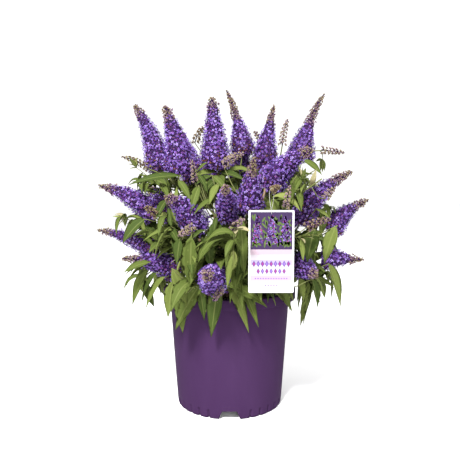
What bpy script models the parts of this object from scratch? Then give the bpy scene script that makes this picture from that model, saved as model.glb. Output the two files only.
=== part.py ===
"""A butterfly bush in flower, in a moulded nursery pot, with a hang tag.

Metres, +Z up. The origin is on the pot's axis at ground level, and the side that
the tag hangs on faces -Y. A place round the pot is an azimuth in degrees, 0 at
the front and growing towards +X, with a height and a reach out from the axis.
"""

import math
import random
from collections import namedtuple

import bmesh
import bpy
import numpy as np
from mathutils import Vector

SEED = 23
GAP = 0.0003
UP = Vector((0.0, 0.0, 1.0))

# Pot: a straight-sided nursery container with a turned-down lip
POT_HEIGHT = 0.245
POT_MOUTH_RADIUS = 0.127
POT_BASE_RADIUS = 0.1115
POT_WALL = 0.002
POT_SIDES = 32
LIP_RADIUS = 0.139
LIP_DROP = 0.020
FOOT_HEIGHT = 0.016
FOOT_WALL = 0.005
FOOT_ROUNDING = 0.003
NOTCH_HEIGHT = 0.014
NOTCH_TOP_WIDTH = 0.029
NOTCH_BOTTOM_WIDTH = 0.045

# Potting mix, which stands a little under the rim
MIX_EDGE_HEIGHT = 0.222
MIX_HEIGHT = 0.227
MIX_FLAT_RADIUS = 0.030

# Crown: the short stem that all boughs leave from
CROWN_HEIGHT = 0.048
CROWN_FOOT_RADIUS = 0.019
CROWN_RADIUS = 0.014
CROWN_SIDES = 12
CROWN_LEVELS = 4
TOP_BOUGH_RING = 0.0092
TOP_BOUGH_TURN = 72
SIDE_BOUGH_HEIGHTS = (0.55, 0.80)

# Boughs: each leaves the crown and ends a little way inside its mass's space. They
# and the stems after them set off straight, so that flat ends face each other.
BOUGH_RADIUS = 0.0034
BOUGH_TIP_RADIUS = 0.0024
STRAIGHT_START = 0.002
BOUGH_LEAD = 0.010
BOUGH_TIP_ROOM = 0.016
BOUGH_STEPS = 5

# Shoots: they part at the fork of the mass's stem, and each bears a flower head
STEM_RADIUS = 0.0022
SHOOT_RADIUS = 0.0017
SHOOT_TIP_RADIUS = 0.0012
SHOOT_STEPS = 3
SHOOT_EASE = 0.4
FORK_SHARE = 0.4
FORK_STEP = 0.0013

# Side twigs, and the skirt of low twigs whose leaves hang over the rim
TWIG_LENGTH = 0.085
TWIG_TRIES = 30
TWIG_TURN = 75
TWIG_RISES = (-30, 55)
TWIGS_PER_TOP_MASS = 5
TWIGS_PER_SIDE_MASS = 3
SKIRT_TURNS = (-17, 17)
SKIRT_REACH = 0.185
SKIRT_HEIGHT = 0.275
SKIRT_FALL = 0.3

# Flower heads: a spindle of knobs, with its own shoot let into its base
HEAD_BOW = 0.085
HEAD_SINK = 0.12
HEAD_SHARES = 12
KNOB_DIP = 0.84

# Leaves: lance-shaped, in opposite pairs that cross, drooping
LEAF_LENGTH = 0.118
LEAF_WIDTH = 0.036
LEAF_THICKNESS = 0.0022
LEAF_SPACING = 0.020
LEAF_WIDEST = 0.42
LEAF_ARCH = 0.32
LEAF_HANG = 0.26
LEAF_FOLD = 0.18
LEAF_TRIES = 40
PAIR_STEP = 0.003
ROOT_SINK = 0.0018
LEAVES_PER_MASS = 19
FEWEST_LEAVES = 4

# Dome that the leaves fill, below and between the flower heads
LEAF_DOME_MIDDLE = 0.300
LEAF_DOME_RISE = 0.235
LEAF_DOME_REACH = 0.236
LEAF_DOME_TUCK = 0.20
LEAF_LOWEST = 0.187

# Clearances that keep a mass in its own space and off the limbs
SPACE_MARGIN = 0.0015
LIMB_MARGIN = 0.007
TWIG_LIMB_MARGIN = 0.004
POT_MARGIN = 0.003
MIX_MARGIN = 0.004
MOUTH_MARGIN = 0.008

# Room that a new leaf leaves round what its own mass already holds
ROOT_ROOM = 0.016
SHOOT_ROOM = 0.005
LEAF_ROOM = 0.0065
HEAD_ROOM = 0.001

# Hang tag
TAG_WIDTH = 0.080
TAG_HEIGHT = 0.146
TAG_THICKNESS = 0.0009
TAG_CORNER = 0.002
TAG_CENTRE = Vector((0.0734, -0.195, 0.3445))
TAG_HOLE_RADIUS = 0.0026
TAG_HOLE_DROP = 0.0055
TAG_LOOP_WIRE = 0.0005
TAG_LOOP_RISE = 0.0445
TAG_LOOP_HALF_WIDTH = 0.0046
TAG_LOOP_SINK = 0.0014
TAG_LOOP_FULLNESS = 0.6
TAG_LOOP_STEPS = 20
TAG_CLEARANCE = 0.012
PUNCH_SIDES = 10

# One flower head: where its tip is, how steeply it rises, how far it swings off
# its own azimuth, its size, and the share of it that is in open flower
Head = namedtuple("Head", "azimuth height reach rise swing length width bloom")

# One mass of foliage: the middle of its space, and the heads that its shoots bear
Mass = namedtuple("Mass", "azimuth height reach heads")

TOP_MASSES = {
    "foliage_top_left": Mass(-98, 0.513, 0.154, (
        Head(-112, 0.637, 0.228, 65, -7, 0.165, 0.058, 0.85),
        Head(-67, 0.617, 0.139, 75, 10, 0.142, 0.066, 0.85),
        Head(-97, 0.520, 0.232, 24, -2, 0.068, 0.013, 0.0),
    )),
    "foliage_top_middle": Mass(180, 0.522, 0.057, (
        Head(-50, 0.637, 0.046, 85, 21, 0.145, 0.062, 0.88),
        Head(-176, 0.674, 0.110, 70, 41, 0.160, 0.056, 0.55),
    )),
    "foliage_top_right": Mass(109, 0.536, 0.115, (
        Head(102, 0.628, 0.096, 80, 17, 0.128, 0.050, 0.72),
        Head(113, 0.662, 0.229, 67, 4, 0.165, 0.060, 0.55),
        Head(90, 0.597, 0.121, 78, 0, 0.057, 0.013, 0.0),
        Head(97, 0.528, 0.248, -6, 4, 0.054, 0.013, 0.0),
    )),
    "foliage_top_back_right": Mass(154, 0.480, 0.139, (
        Head(150, 0.605, 0.200, 64, 4, 0.150, 0.060, 0.80),
        Head(170, 0.580, 0.215, 52, 0, 0.140, 0.056, 0.85),
        Head(132, 0.540, 0.255, 42, -4, 0.070, 0.014, 0.0),
    )),
    "foliage_top_back_left": Mass(-148, 0.500, 0.118, (
        Head(-142, 0.595, 0.205, 62, 3, 0.150, 0.058, 0.80),
        Head(-166, 0.600, 0.190, 62, 0, 0.140, 0.058, 0.75),
    )),
}
SIDE_MASSES = {
    "foliage_front_middle": Mass(8, 0.374, 0.144, (
        Head(12, 0.509, 0.205, 58, -6, 0.112, 0.052, 0.70),
        Head(-2, 0.460, 0.225, 31, 0, 0.120, 0.044, 0.80),
        Head(-8, 0.315, 0.272, 16, 2, 0.120, 0.054, 0.90),
        Head(-7, 0.262, 0.225, -28, -24, 0.033, 0.011, 0.0),
    )),
    "foliage_front_right": Mass(46, 0.401, 0.185, (
        Head(45, 0.526, 0.213, 35, 4, 0.122, 0.059, 0.85),
        Head(38, 0.302, 0.250, -4, -22, 0.092, 0.047, 0.85),
        Head(19.9, 0.459, 0.250, 12, 0, 0.034, 0.009, 0.0),
    )),
    "foliage_right": Mass(73, 0.391, 0.181, (
        Head(74, 0.488, 0.253, 43, 5, 0.152, 0.060, 0.75),
        Head(86, 0.430, 0.288, 40, -10, 0.104, 0.052, 0.75),
        Head(80, 0.309, 0.276, -1, -3, 0.085, 0.050, 0.72),
    )),
    "foliage_back_right": Mass(131, 0.344, 0.202, (
        Head(126, 0.455, 0.270, 36, 3, 0.142, 0.058, 0.80),
        Head(140, 0.340, 0.275, 12, -4, 0.125, 0.052, 0.80),
    )),
    "foliage_back_middle": Mass(176, 0.385, 0.189, (
        Head(176, 0.470, 0.262, 38, 4, 0.142, 0.058, 0.85),
        Head(-172, 0.335, 0.268, 10, -6, 0.120, 0.052, 0.85),
    )),
    "foliage_back_left": Mass(-130, 0.354, 0.200, (
        Head(-130, 0.460, 0.268, 34, -4, 0.142, 0.058, 0.75),
        Head(-142, 0.330, 0.274, 8, 4, 0.125, 0.052, 0.80),
    )),
    "foliage_left": Mass(-87, 0.378, 0.202, (
        Head(-82, 0.459, 0.268, 28, 1, 0.134, 0.056, 0.82),
        Head(-96, 0.363, 0.288, 19, -2, 0.146, 0.046, 0.80),
    )),
    "foliage_front_left": Mass(-37, 0.390, 0.157, (
        Head(-29, 0.441, 0.228, 34, -4, 0.114, 0.056, 0.88),
        Head(-55, 0.325, 0.245, 14, -14, 0.114, 0.052, 0.75),
        Head(-24, 0.373, 0.219, -16, -17, 0.041, 0.014, 0.0),
    )),
}
MASSES = TOP_MASSES | SIDE_MASSES

# Colour, roughness
FINISHES = {
    "pot plastic": ((0.100, 0.050, 0.140), 0.45),
    "potting mix": ((0.030, 0.020, 0.012), 0.95),
    "bark": ((0.210, 0.140, 0.075), 0.85),
    "foliage and blossom": ((0.180, 0.230, 0.080), 0.70),
    "printed card": ((0.820, 0.780, 0.800), 0.40),
    "tag loop": ((0.750, 0.750, 0.720), 0.50),
}


def clear_scene():
    for old in list(bpy.data.objects):
        bpy.data.objects.remove(old, do_unlink=True)


def new_collection(name):
    made = bpy.data.collections.new(name)
    bpy.context.scene.collection.children.link(made)
    return made


def new_material(name):
    colour, roughness = FINISHES[name]
    made = bpy.data.materials.get(name) or bpy.data.materials.new(name)
    made.use_nodes = True
    shader = made.node_tree.nodes["Principled BSDF"]
    shader.inputs["Base Color"].default_value = (*colour, 1.0)
    shader.inputs["Roughness"].default_value = roughness
    shader.inputs["Metallic"].default_value = 0.0
    return made


def add_object(name, data, collection, finish=None):
    made = bpy.data.objects.new(name, data)
    collection.objects.link(made)
    if finish:
        data.materials.append(new_material(finish))
    return made


def evaluated_mesh(obj):
    graph = bpy.context.evaluated_depsgraph_get()
    return bpy.data.meshes.new_from_object(obj.evaluated_get(graph))


def outward(azimuth):
    turn = math.radians(azimuth)
    return Vector((math.sin(turn), -math.cos(turn), 0.0))


def place(azimuth, height, reach):
    return outward(azimuth) * reach + UP * height


def bezier(points, share):
    """The point at this share of a Bezier curve, by repeated interpolation."""
    while len(points) > 1:
        points = [a.lerp(b, share) for a, b in zip(points, points[1:])]
    return points[0]


def route(control, steps):
    return [bezier(control, step / steps) for step in range(steps + 1)]


# Pot, potting mix and crown


def turned(name, profile, sides, collection, finish):
    """A solid of revolution. The profile is (radius, height) from axis to axis."""
    mesh = bpy.data.meshes.new(name)
    points = [(radius, 0.0, height) for radius, height in profile]
    edges = [(index, index + 1) for index in range(len(points) - 1)]
    mesh.from_pydata(points, edges, [])
    made = add_object(name, mesh, collection, finish)
    screw = made.modifiers.new("turn", "SCREW")
    screw.axis = "Z"
    screw.steps = sides
    screw.render_steps = sides
    screw.use_merge_vertices = True
    screw.merge_threshold = 0.00005
    screw.use_smooth_shade = True
    return made


def pot_radius(height):
    """The outer radius of the pot's wall at this height."""
    share = (height - FOOT_HEIGHT) / (POT_HEIGHT - FOOT_HEIGHT)
    return POT_BASE_RADIUS + (POT_MOUTH_RADIUS - POT_BASE_RADIUS) * share


def build_pot(collection, cutters):
    floor_top = FOOT_HEIGHT + POT_WALL
    lip_inside = LIP_RADIUS - POT_WALL
    under_lip = POT_HEIGHT - POT_WALL
    bead = POT_WALL / 2
    profile = [
        (0.0, floor_top),
        (pot_radius(floor_top) - POT_WALL, floor_top),
        (POT_MOUTH_RADIUS - POT_WALL, POT_HEIGHT - bead),
        (POT_MOUTH_RADIUS - bead, POT_HEIGHT),
        (LIP_RADIUS - bead, POT_HEIGHT),
        (LIP_RADIUS, POT_HEIGHT - bead),
        (LIP_RADIUS, POT_HEIGHT - LIP_DROP),
        (lip_inside, POT_HEIGHT - LIP_DROP),
        (lip_inside, under_lip),
        (pot_radius(under_lip), under_lip),
        (pot_radius(FOOT_HEIGHT), FOOT_HEIGHT),
        (pot_radius(FOOT_ROUNDING), FOOT_ROUNDING),
        (pot_radius(0.0) - FOOT_ROUNDING, 0.0),
        (pot_radius(0.0) - FOOT_WALL - FOOT_ROUNDING, 0.0),
        (pot_radius(FOOT_HEIGHT) - FOOT_WALL, FOOT_HEIGHT),
        (0.0, FOOT_HEIGHT),
    ]
    pot = turned("pot", profile, POT_SIDES, collection, "pot plastic")
    for side, turn in (("front_back", 0.0), ("left_right", math.pi / 2)):
        cutter = notch_cutter(f"notch_{side}", turn, cutters)
        cut = pot.modifiers.new(cutter.name, "BOOLEAN")
        cut.operation = "DIFFERENCE"
        cut.object = cutter


def notch_cutter(name, turn, cutters):
    """A bar across the whole foot, narrower at the top, that cuts two notches."""
    below = NOTCH_HEIGHT
    slope = (NOTCH_BOTTOM_WIDTH - NOTCH_TOP_WIDTH) / NOTCH_HEIGHT
    half_top = NOTCH_TOP_WIDTH / 2
    half_bottom = (NOTCH_BOTTOM_WIDTH + slope * below) / 2
    mesh = bpy.data.meshes.new(name)
    shape = bmesh.new()
    bmesh.ops.create_cube(shape, size=2.0)
    for corner in shape.verts:
        half = half_top if corner.co.z > 0 else half_bottom
        height = NOTCH_HEIGHT if corner.co.z > 0 else -below
        corner.co = (corner.co.x * half, corner.co.y * LIP_RADIUS, height)
    shape.to_mesh(mesh)
    shape.free()
    cutter = add_object(name, mesh, cutters)
    cutter.rotation_euler.z = turn
    cutter.hide_render = True
    cutter.display_type = "WIRE"
    return cutter


def build_mix(collection):
    bottom = FOOT_HEIGHT + POT_WALL + GAP
    profile = [
        (0.0, MIX_HEIGHT),
        (MIX_FLAT_RADIUS, MIX_HEIGHT),
        (pot_radius(MIX_EDGE_HEIGHT) - POT_WALL - 2 * GAP, MIX_EDGE_HEIGHT),
        (pot_radius(bottom) - POT_WALL - 2 * GAP, bottom),
        (0.0, bottom),
    ]
    turned("potting_mix", profile, POT_SIDES, collection, "potting mix")


def crown_radius(share):
    """The crown's radius at this share of its height: it swells towards its foot."""
    return CROWN_RADIUS + (CROWN_FOOT_RADIUS - CROWN_RADIUS) * (1 - share) ** 2


def build_crown(collection):
    foot = MIX_HEIGHT + GAP
    profile = [(0.0, foot + CROWN_HEIGHT)]
    for level in range(CROWN_LEVELS, -1, -1):
        share = level / CROWN_LEVELS
        profile.append((crown_radius(share), foot + CROWN_HEIGHT * share))
    profile.append((0.0, foot))
    turned("crown_stem", profile, CROWN_SIDES, collection, "bark")


# Boughs


def mass_centre(name):
    mass = MASSES[name]
    return place(mass.azimuth, mass.height, mass.reach)


CENTRES = {name: mass_centre(name) for name in MASSES}


def space_left(name, point):
    """How far inside the mass's own space the point is. Every point belongs to
    the mass whose centre is nearest, so the spaces are convex and don't meet."""
    own = CENTRES[name]
    gaps = []
    for other, centre in CENTRES.items():
        if other != name:
            between = (centre - own).length
            apart = (point - centre).length_squared - (point - own).length_squared
            gaps.append(apart / (2 * between))
    return min(gaps)


def bough_foot(name):
    """Where the bough leaves the crown, and the direction it leaves in."""
    crown_base = MIX_HEIGHT + GAP
    if name in TOP_MASSES:
        slot = list(TOP_MASSES).index(name)
        azimuth = TOP_BOUGH_TURN * slot - 90
        height = crown_base + CROWN_HEIGHT + GAP
        return place(azimuth, height, TOP_BOUGH_RING), UP
    azimuth = MASSES[name].azimuth
    level = SIDE_BOUGH_HEIGHTS[list(SIDE_MASSES).index(name) % 2]
    height = crown_base + CROWN_HEIGHT * level
    reach = crown_radius(level - BOUGH_RADIUS / CROWN_HEIGHT) + 2 * GAP
    return place(azimuth, height, reach), outward(azimuth)


def bough_tip(name):
    """The first point on the way to the mass's centre that is well inside its space."""
    foot, _ = bough_foot(name)
    for step in range(20, 100):
        tip = foot.lerp(CENTRES[name], step / 100)
        if space_left(name, tip) > BOUGH_TIP_ROOM:
            return tip
    return tip


def bough_route(name):
    foot, leaving = bough_foot(name)
    tip = bough_tip(name)
    rise = Vector((tip.x, tip.y, foot.z)).lerp(tip, 0.35)
    bend = foot.lerp(rise, 0.55)
    start = foot + leaving * STRAIGHT_START
    return [foot] + route([start, start + leaving * BOUGH_LEAD, bend, tip], BOUGH_STEPS)


def taper(start, end, count):
    return [start + (end - start) * index / (count - 1) for index in range(count)]


def add_curve(name, points, radii, collection, finish=None, closed=False):
    """A round bar along the points, as a curve object with filled caps."""
    curve = bpy.data.curves.new(name, "CURVE")
    curve.dimensions = "3D"
    curve.bevel_depth = 1.0
    curve.bevel_resolution = 1
    curve.use_fill_caps = not closed
    line = curve.splines.new("POLY")
    line.points.add(len(points) - 1)
    line.use_cyclic_u = closed
    for spot, point, radius in zip(line.points, points, radii):
        spot.co = (*point, 1.0)
        spot.radius = radius
    return add_object(name, curve, collection, finish)


def build_bough(name, collection):
    points = bough_route(name)
    radii = taper(BOUGH_RADIUS, BOUGH_TIP_RADIUS, len(points))
    add_curve(name.replace("foliage", "bough"), points, radii, collection, "bark")


# What the foliage keeps clear of


def sampled(points, step=0.004):
    """Points close together along the line."""
    found = []
    for start, end in zip(points, points[1:]):
        count = max(1, int((end - start).length / step))
        found += [start.lerp(end, index / count) for index in range(count)]
    return np.array(found + [points[-1]])


LIMBS = {name: sampled(bough_route(name)) for name in MASSES}
CROWN_LINE = sampled([UP * MIX_HEIGHT, UP * (MIX_HEIGHT + CROWN_HEIGHT)])


def distance_to(line, points):
    return np.linalg.norm(points[:, None] - line[None], axis=2).min(axis=1)


def in_the_dome(points):
    """True for points inside the dome that the leaves fill: square-shouldered, and
    tucked in a little below its widest level."""
    over = points[:, 2] - LEAF_DOME_MIDDLE
    widest = LEAF_DOME_REACH + LEAF_DOME_TUCK * np.minimum(over, 0)
    reach = np.hypot(points[:, 0], points[:, 1]) / widest
    rise = np.maximum(over, 0) / LEAF_DOME_RISE
    return (reach**3 + rise**3 < 1) & (points[:, 2] > LEAF_LOWEST)


def off_the_pot(points):
    """True for points outside the pot's wall and lip, or above the mix inside it."""
    reach = np.hypot(points[:, 0], points[:, 1])
    height = points[:, 2]
    wall = LIP_RADIUS - (LIP_RADIUS - POT_BASE_RADIUS) * np.clip(
        (POT_HEIGHT - LIP_DROP - height) / POT_HEIGHT, 0, 1
    )
    outside = reach > wall + POT_MARGIN
    above = height > POT_HEIGHT + POT_MARGIN
    inside = (reach < POT_MOUTH_RADIUS - MOUTH_MARGIN) & (height > MIX_HEIGHT + MIX_MARGIN)
    return outside | above | inside


def off_the_tag(points):
    """True for points that are neither in the tag or its loop nor in front of them."""
    x, y, z = points.T
    beside = np.abs(x - TAG_CENTRE.x) > TAG_WIDTH / 2 + TAG_CLEARANCE / 2
    bottom = TAG_CENTRE.z - TAG_HEIGHT / 2 - TAG_CLEARANCE / 2
    top = TAG_CENTRE.z + TAG_HEIGHT / 2 + TAG_CLEARANCE / 2
    behind = y > TAG_CENTRE.y + TAG_CLEARANCE
    off_card = beside | behind | (z < bottom) | (z > top)
    loop_side = np.hypot(x - TAG_CENTRE.x, (y - TAG_CENTRE.y)) > TAG_CLEARANCE
    off_loop = loop_side | (z < top - TAG_CLEARANCE) | (z > top + TAG_LOOP_RISE)
    return off_card & off_loop


def clear(name, points, limb_room=LIMB_MARGIN):
    """Whether all of these points are in the mass's space and off everything else."""
    if min(space_left(name, Vector(point)) for point in points) < SPACE_MARGIN:
        return False
    if not (off_the_pot(points) & off_the_tag(points)).all():
        return False
    lines = [*LIMBS.values(), CROWN_LINE]
    return min(distance_to(line, points).min() for line in lines) > limb_room


# Twigs, leaves and flower heads


def head_axis(head):
    """The direction that a flower head points in, from its base to its tip."""
    level = outward(head.azimuth + head.swing)
    rise = math.radians(head.rise)
    return level * math.cos(rise) + UP * math.sin(rise)


def head_ends(head):
    tip = place(head.azimuth, head.height, head.reach)
    return tip - head_axis(head) * head.length, tip


def head_spot(head, share):
    """The point of the head's axis at this share, which bows a little upward."""
    base, tip = head_ends(head)
    axis = head_axis(head)
    above = (UP - axis * axis.z).normalized()
    bow = HEAD_BOW * abs(math.sin(math.radians(2 * head.rise)))
    return base.lerp(tip, share) + above * bow * head.length * 4 * share * (1 - share)


def head_radius(head, share):
    """The head's radius at this share of its length: a spindle, then a thin tail of
    closed buds."""
    half = head.width / 2
    if head.bloom == 0:
        return half * (1 - share) ** 0.6
    if share <= head.bloom:
        open_share = share / head.bloom
        return half * min(1.0, 0.62 + 2.2 * open_share) * (1 - 0.46 * open_share**2)
    tail = (share - head.bloom) / (1 - head.bloom)
    return half * 0.46 * (1 - tail) ** 0.8


def new_piece(name, shape, pieces):
    mesh = bpy.data.meshes.new(name)
    bmesh.ops.recalc_face_normals(shape, faces=shape.faces)
    if shape.calc_volume(signed=True) < 0:
        bmesh.ops.reverse_faces(shape, faces=shape.faces)
    shape.to_mesh(mesh)
    shape.free()
    return add_object(name, mesh, pieces)


def add_head(head, pieces):
    """A spindle of knobs, every other corner of each ring standing out."""
    around = 4 if head.bloom == 0 else 8
    levels = 4 if head.bloom == 0 else 7
    turn = UP.rotation_difference(head_axis(head))
    shape = bmesh.new()
    bmesh.ops.create_uvsphere(shape, u_segments=around, v_segments=levels, radius=1.0)
    for corner in shape.verts:
        level = round(math.acos(max(-1, min(1, -corner.co.z))) / math.pi * levels)
        step = math.atan2(corner.co.y, corner.co.x) / (2 * math.pi) * around
        share = level / levels
        knob = 1.0 if (round(step) + level) % 2 else KNOB_DIP
        radius = 0.0 if level in (0, levels) else head_radius(head, share) * knob
        level_spot = Vector((corner.co.x, corner.co.y, 0.0))
        if level_spot.length:
            level_spot.normalize()
        corner.co = head_spot(head, share) + turn @ (level_spot * radius)
    new_piece("head", shape, pieces)


def add_shoot(points, radii, triangle, pieces):
    """A three-sided twig along the points."""
    curve = add_curve("shoot", points, radii, pieces)
    curve.data.bevel_mode = "OBJECT"
    curve.data.bevel_object = triangle
    mesh = evaluated_mesh(curve)
    bpy.data.objects.remove(curve)
    shape = bmesh.new()
    shape.from_mesh(mesh)
    bmesh.ops.remove_doubles(shape, verts=shape.verts, dist=0.00001)
    new_piece("shoot", shape, pieces)


def leaf_frame(along):
    """The leaf's direction, the direction across its blade and its upper side."""
    across = along.cross(UP)
    if across.length < 0.05:
        across = along.cross(Vector((1.0, 0.0, 0.0)))
    across.normalize()
    return along, across, across.cross(along)


def leaf_point(root, frame, length, share, side, lift):
    """A point on the leaf: share along it, side across it and lift off its face,
    each in metres but the share. The blade arches up and then hangs down."""
    along, across, above = frame
    arch = LEAF_ARCH * length * share * (1 - share)
    hang = LEAF_HANG * length * share**2
    spot = root + along * length * share + across * side
    return spot + above * (arch + lift) - UP * hang


def leaf_samples(root, frame, length, width):
    """Points over the whole blade, for the clearances."""
    found = []
    for step in range(2, 13):
        share = step / 12
        half = width / 2 * math.sin(math.pi * share**0.8)
        for side in (-half, 0.0, half):
            found.append(leaf_point(root, frame, length, share, side, 0.0))
    return np.array(found)


def add_leaf(root, frame, length, width, pieces):
    """A folded blade of eight faces, widest a little nearer its root."""
    shape = bmesh.new()
    bmesh.ops.create_uvsphere(shape, u_segments=4, v_segments=2, radius=1.0)
    for corner in shape.verts:
        along, side, lift = corner.co.z, corner.co.x, corner.co.y
        share = LEAF_WIDEST + along * (1 - LEAF_WIDEST if along > 0 else LEAF_WIDEST)
        fold = LEAF_FOLD * width * abs(side)
        offset = lift * LEAF_THICKNESS / 2 + fold
        corner.co = leaf_point(root, frame, length, share, side * width / 2, offset)
    new_piece("leaf", shape, pieces)


def head_samples(head):
    """Points on the axis of the head, with the head's radius at each."""
    shares = [index / HEAD_SHARES for index in range(HEAD_SHARES + 1)]
    return [(head_spot(head, share), head_radius(head, share)) for share in shares]


def off_the_rest(points, joint, taken):
    """Whether the blade, past its root, misses what its own mass already holds."""
    blade = points[np.linalg.norm(points - np.array(joint), axis=1) > ROOT_ROOM]
    return all(distance_to(line, blade).min() > room for line, room in taken)


def grow_leaf(name, chance, joint, shoot_way, side_way, pieces, taken):
    """Tries turns and sizes round the joint until one leaf is clear, then adds it."""
    for attempt in range(LEAF_TRIES):
        late = attempt / LEAF_TRIES
        turn = chance.uniform(-1, 1) * (0.4 + 2.8 * late)
        opening = chance.uniform(0.1, 0.9)
        shrink = 1 - 0.5 * late
        sideways = side_way * math.cos(turn) + shoot_way.cross(side_way) * math.sin(turn)
        along = (sideways + shoot_way * opening).normalized()
        length = LEAF_LENGTH * chance.uniform(0.85, 1.1) * shrink
        width = LEAF_WIDTH * length / LEAF_LENGTH
        frame = leaf_frame(along)
        points = leaf_samples(joint, frame, length, width)
        inside = in_the_dome(points).all() and clear(name, points)
        if inside and off_the_rest(points, joint, taken):
            root = joint - along * ROOT_SINK
            add_leaf(root, frame, length + ROOT_SINK, width, pieces)
            taken.append((points, LEAF_ROOM))
            return True
    return False


def leafy_joints(points):
    """Places along a shoot for leaf pairs, with the shoot's direction at each."""
    length = sum((b - a).length for a, b in zip(points, points[1:]))
    count = max(1, round(length / LEAF_SPACING))
    found = []
    for index in range(count):
        share = (index + 0.6) / count * (len(points) - 1)
        step = min(int(share), len(points) - 2)
        a, b = points[step], points[step + 1]
        found.append((a.lerp(b, share - step), (b - a).normalized()))
    return found


def grow_pairs(name, chance, points, room, pieces, taken):
    """Leaves in pairs along the shoot, each pair turned a quarter from the last."""
    grown = 0
    quarter = chance.uniform(0, math.pi)
    for joint, way in reversed(leafy_joints(points)):
        _, across, above = leaf_frame(way)
        quarter += math.pi / 2
        side = across * math.cos(quarter) + above * math.sin(quarter)
        for side_way, step in ((side, 0.0), (-side, PAIR_STEP)):
            if grown < room:
                spot = joint + way * step
                grown += grow_leaf(name, chance, spot, way, side_way, pieces, taken)
    return grown


def shoot_route(start, leaving, end, arriving):
    reach = (end - start).length * SHOOT_EASE
    return route([start, start + leaving * reach, end - arriving * reach, end], SHOOT_STEPS)


def skirt_route(name, start, leaving, turn):
    """A low twig that reaches out past the rim, for leaves that hang over the pot."""
    end = place(MASSES[name].azimuth + turn, SKIRT_HEIGHT, SKIRT_REACH)
    way = (outward(MASSES[name].azimuth + turn) - UP * SKIRT_FALL).normalized()
    points = shoot_route(start, leaving, end, way)
    return points if clear(name, sampled(points[1:]), TWIG_LIMB_MARGIN) else None


def twig_route(name, chance, start, leaving):
    """A side twig that turns outward and sags, if one clear of everything is found."""
    middle = MASSES[name]
    for attempt in range(TWIG_TRIES):
        azimuth = middle.azimuth + chance.uniform(-TWIG_TURN, TWIG_TURN)
        rise = math.radians(chance.uniform(*TWIG_RISES))
        way = outward(azimuth) * math.cos(rise) + UP * math.sin(rise)
        length = TWIG_LENGTH * chance.uniform(0.7, 1.25) * (1 - attempt / TWIG_TRIES / 2)
        end = start + way * length
        points = shoot_route(start, leaving.lerp(way, 0.7).normalized(), end, way)
        if clear(name, sampled(points[1:]), TWIG_LIMB_MARGIN):
            return points
    return None


def way_between(start, end):
    return (end - start).normalized()


def grow_shoots(name, triangle, pieces, taken):
    """The mass's stem, forked into one shoot for each flower head, with the heads."""
    heads = MASSES[name].heads
    bough = bough_route(name)
    leaving = way_between(bough[-2], bough[-1])
    start = bough[-1] + leaving * GAP
    bases = [head_ends(head)[0] for head in heads if head.bloom]
    middle = sum(bases, Vector()) / len(bases)
    onward = way_between(start, middle)
    fork = start.lerp(middle, FORK_SHARE)
    stem = [start]
    stem += shoot_route(start + leaving * STRAIGHT_START, leaving, fork, onward)
    shoots = []
    for index, head in enumerate(heads):
        axis = head_axis(head)
        end = head_ends(head)[0] + axis * head.length * HEAD_SINK
        points = shoot_route(fork - onward * FORK_STEP * index, onward, end, axis)
        radii = taper(SHOOT_RADIUS, SHOOT_TIP_RADIUS, len(points))
        if index == 0:
            points = stem + points[1:]
            radii = taper(STEM_RADIUS, SHOOT_TIP_RADIUS, len(points))
        add_shoot(points, radii, triangle, pieces)
        add_head(head, pieces)
        shoots.append(points)
        taken.append((sampled(points), SHOOT_ROOM))
        for spot, radius in head_samples(head):
            taken.append((np.array([spot]), radius + HEAD_ROOM))
    return shoots


def twig_routes(name, chance, shoots):
    """The skirt twigs of a side mass, and then the side twigs of any mass."""
    stem = shoots[0]
    if name in SIDE_MASSES:
        for turn in SKIRT_TURNS:
            yield skirt_route(name, stem[2], way_between(stem[2], stem[3]), turn)
    for _ in range(TWIGS_PER_TOP_MASS if name in TOP_MASSES else TWIGS_PER_SIDE_MASS):
        parent = chance.choice(shoots)
        step = chance.randrange(1, len(parent) - 2)
        leaving = way_between(parent[step], parent[step + 1])
        joint = parent[step] + leaving * FORK_STEP * chance.uniform(0.5, 3)
        yield twig_route(name, chance, joint, leaving)


def build_mass(name, collection, triangle):
    """One stem that forks into shoots with flower heads and leafy side twigs."""
    chance = random.Random(f"{SEED} {name}")
    pieces = new_collection(f"{name} pieces")
    taken = []
    shoots = grow_shoots(name, triangle, pieces, taken)
    twigs = [points for points in twig_routes(name, chance, shoots) if points]
    for points in twigs:
        radii = taper(SHOOT_RADIUS, SHOOT_TIP_RADIUS, len(points))
        add_shoot(points, radii, triangle, pieces)
        taken.append((sampled(points), SHOOT_ROOM))
    room = LEAVES_PER_MASS
    for points in twigs + shoots:
        share = room if points is shoots[-1] else max(FEWEST_LEAVES, room // 3)
        room -= grow_pairs(name, chance, points, min(room, share), pieces, taken)
    fuse(name, pieces, collection)


def keep_largest_shell(mesh):
    """Drops loose scraps, and the walls of any hollow that the union sealed."""
    shape = bmesh.new()
    shape.from_mesh(mesh)
    waiting = set(shape.faces)
    shells = []
    while waiting:
        shell = {waiting.pop()}
        border = list(shell)
        while border:
            face = border.pop()
            near = {other for edge in face.edges for other in edge.link_faces} - shell
            shell |= near
            border += near
        waiting -= shell
        shells.append(shell)
    shells.sort(key=len)
    loose = [face for shell in shells[:-1] for face in shell]
    bmesh.ops.delete(shape, geom=loose, context="FACES")
    shape.to_mesh(mesh)
    shape.free()


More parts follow.
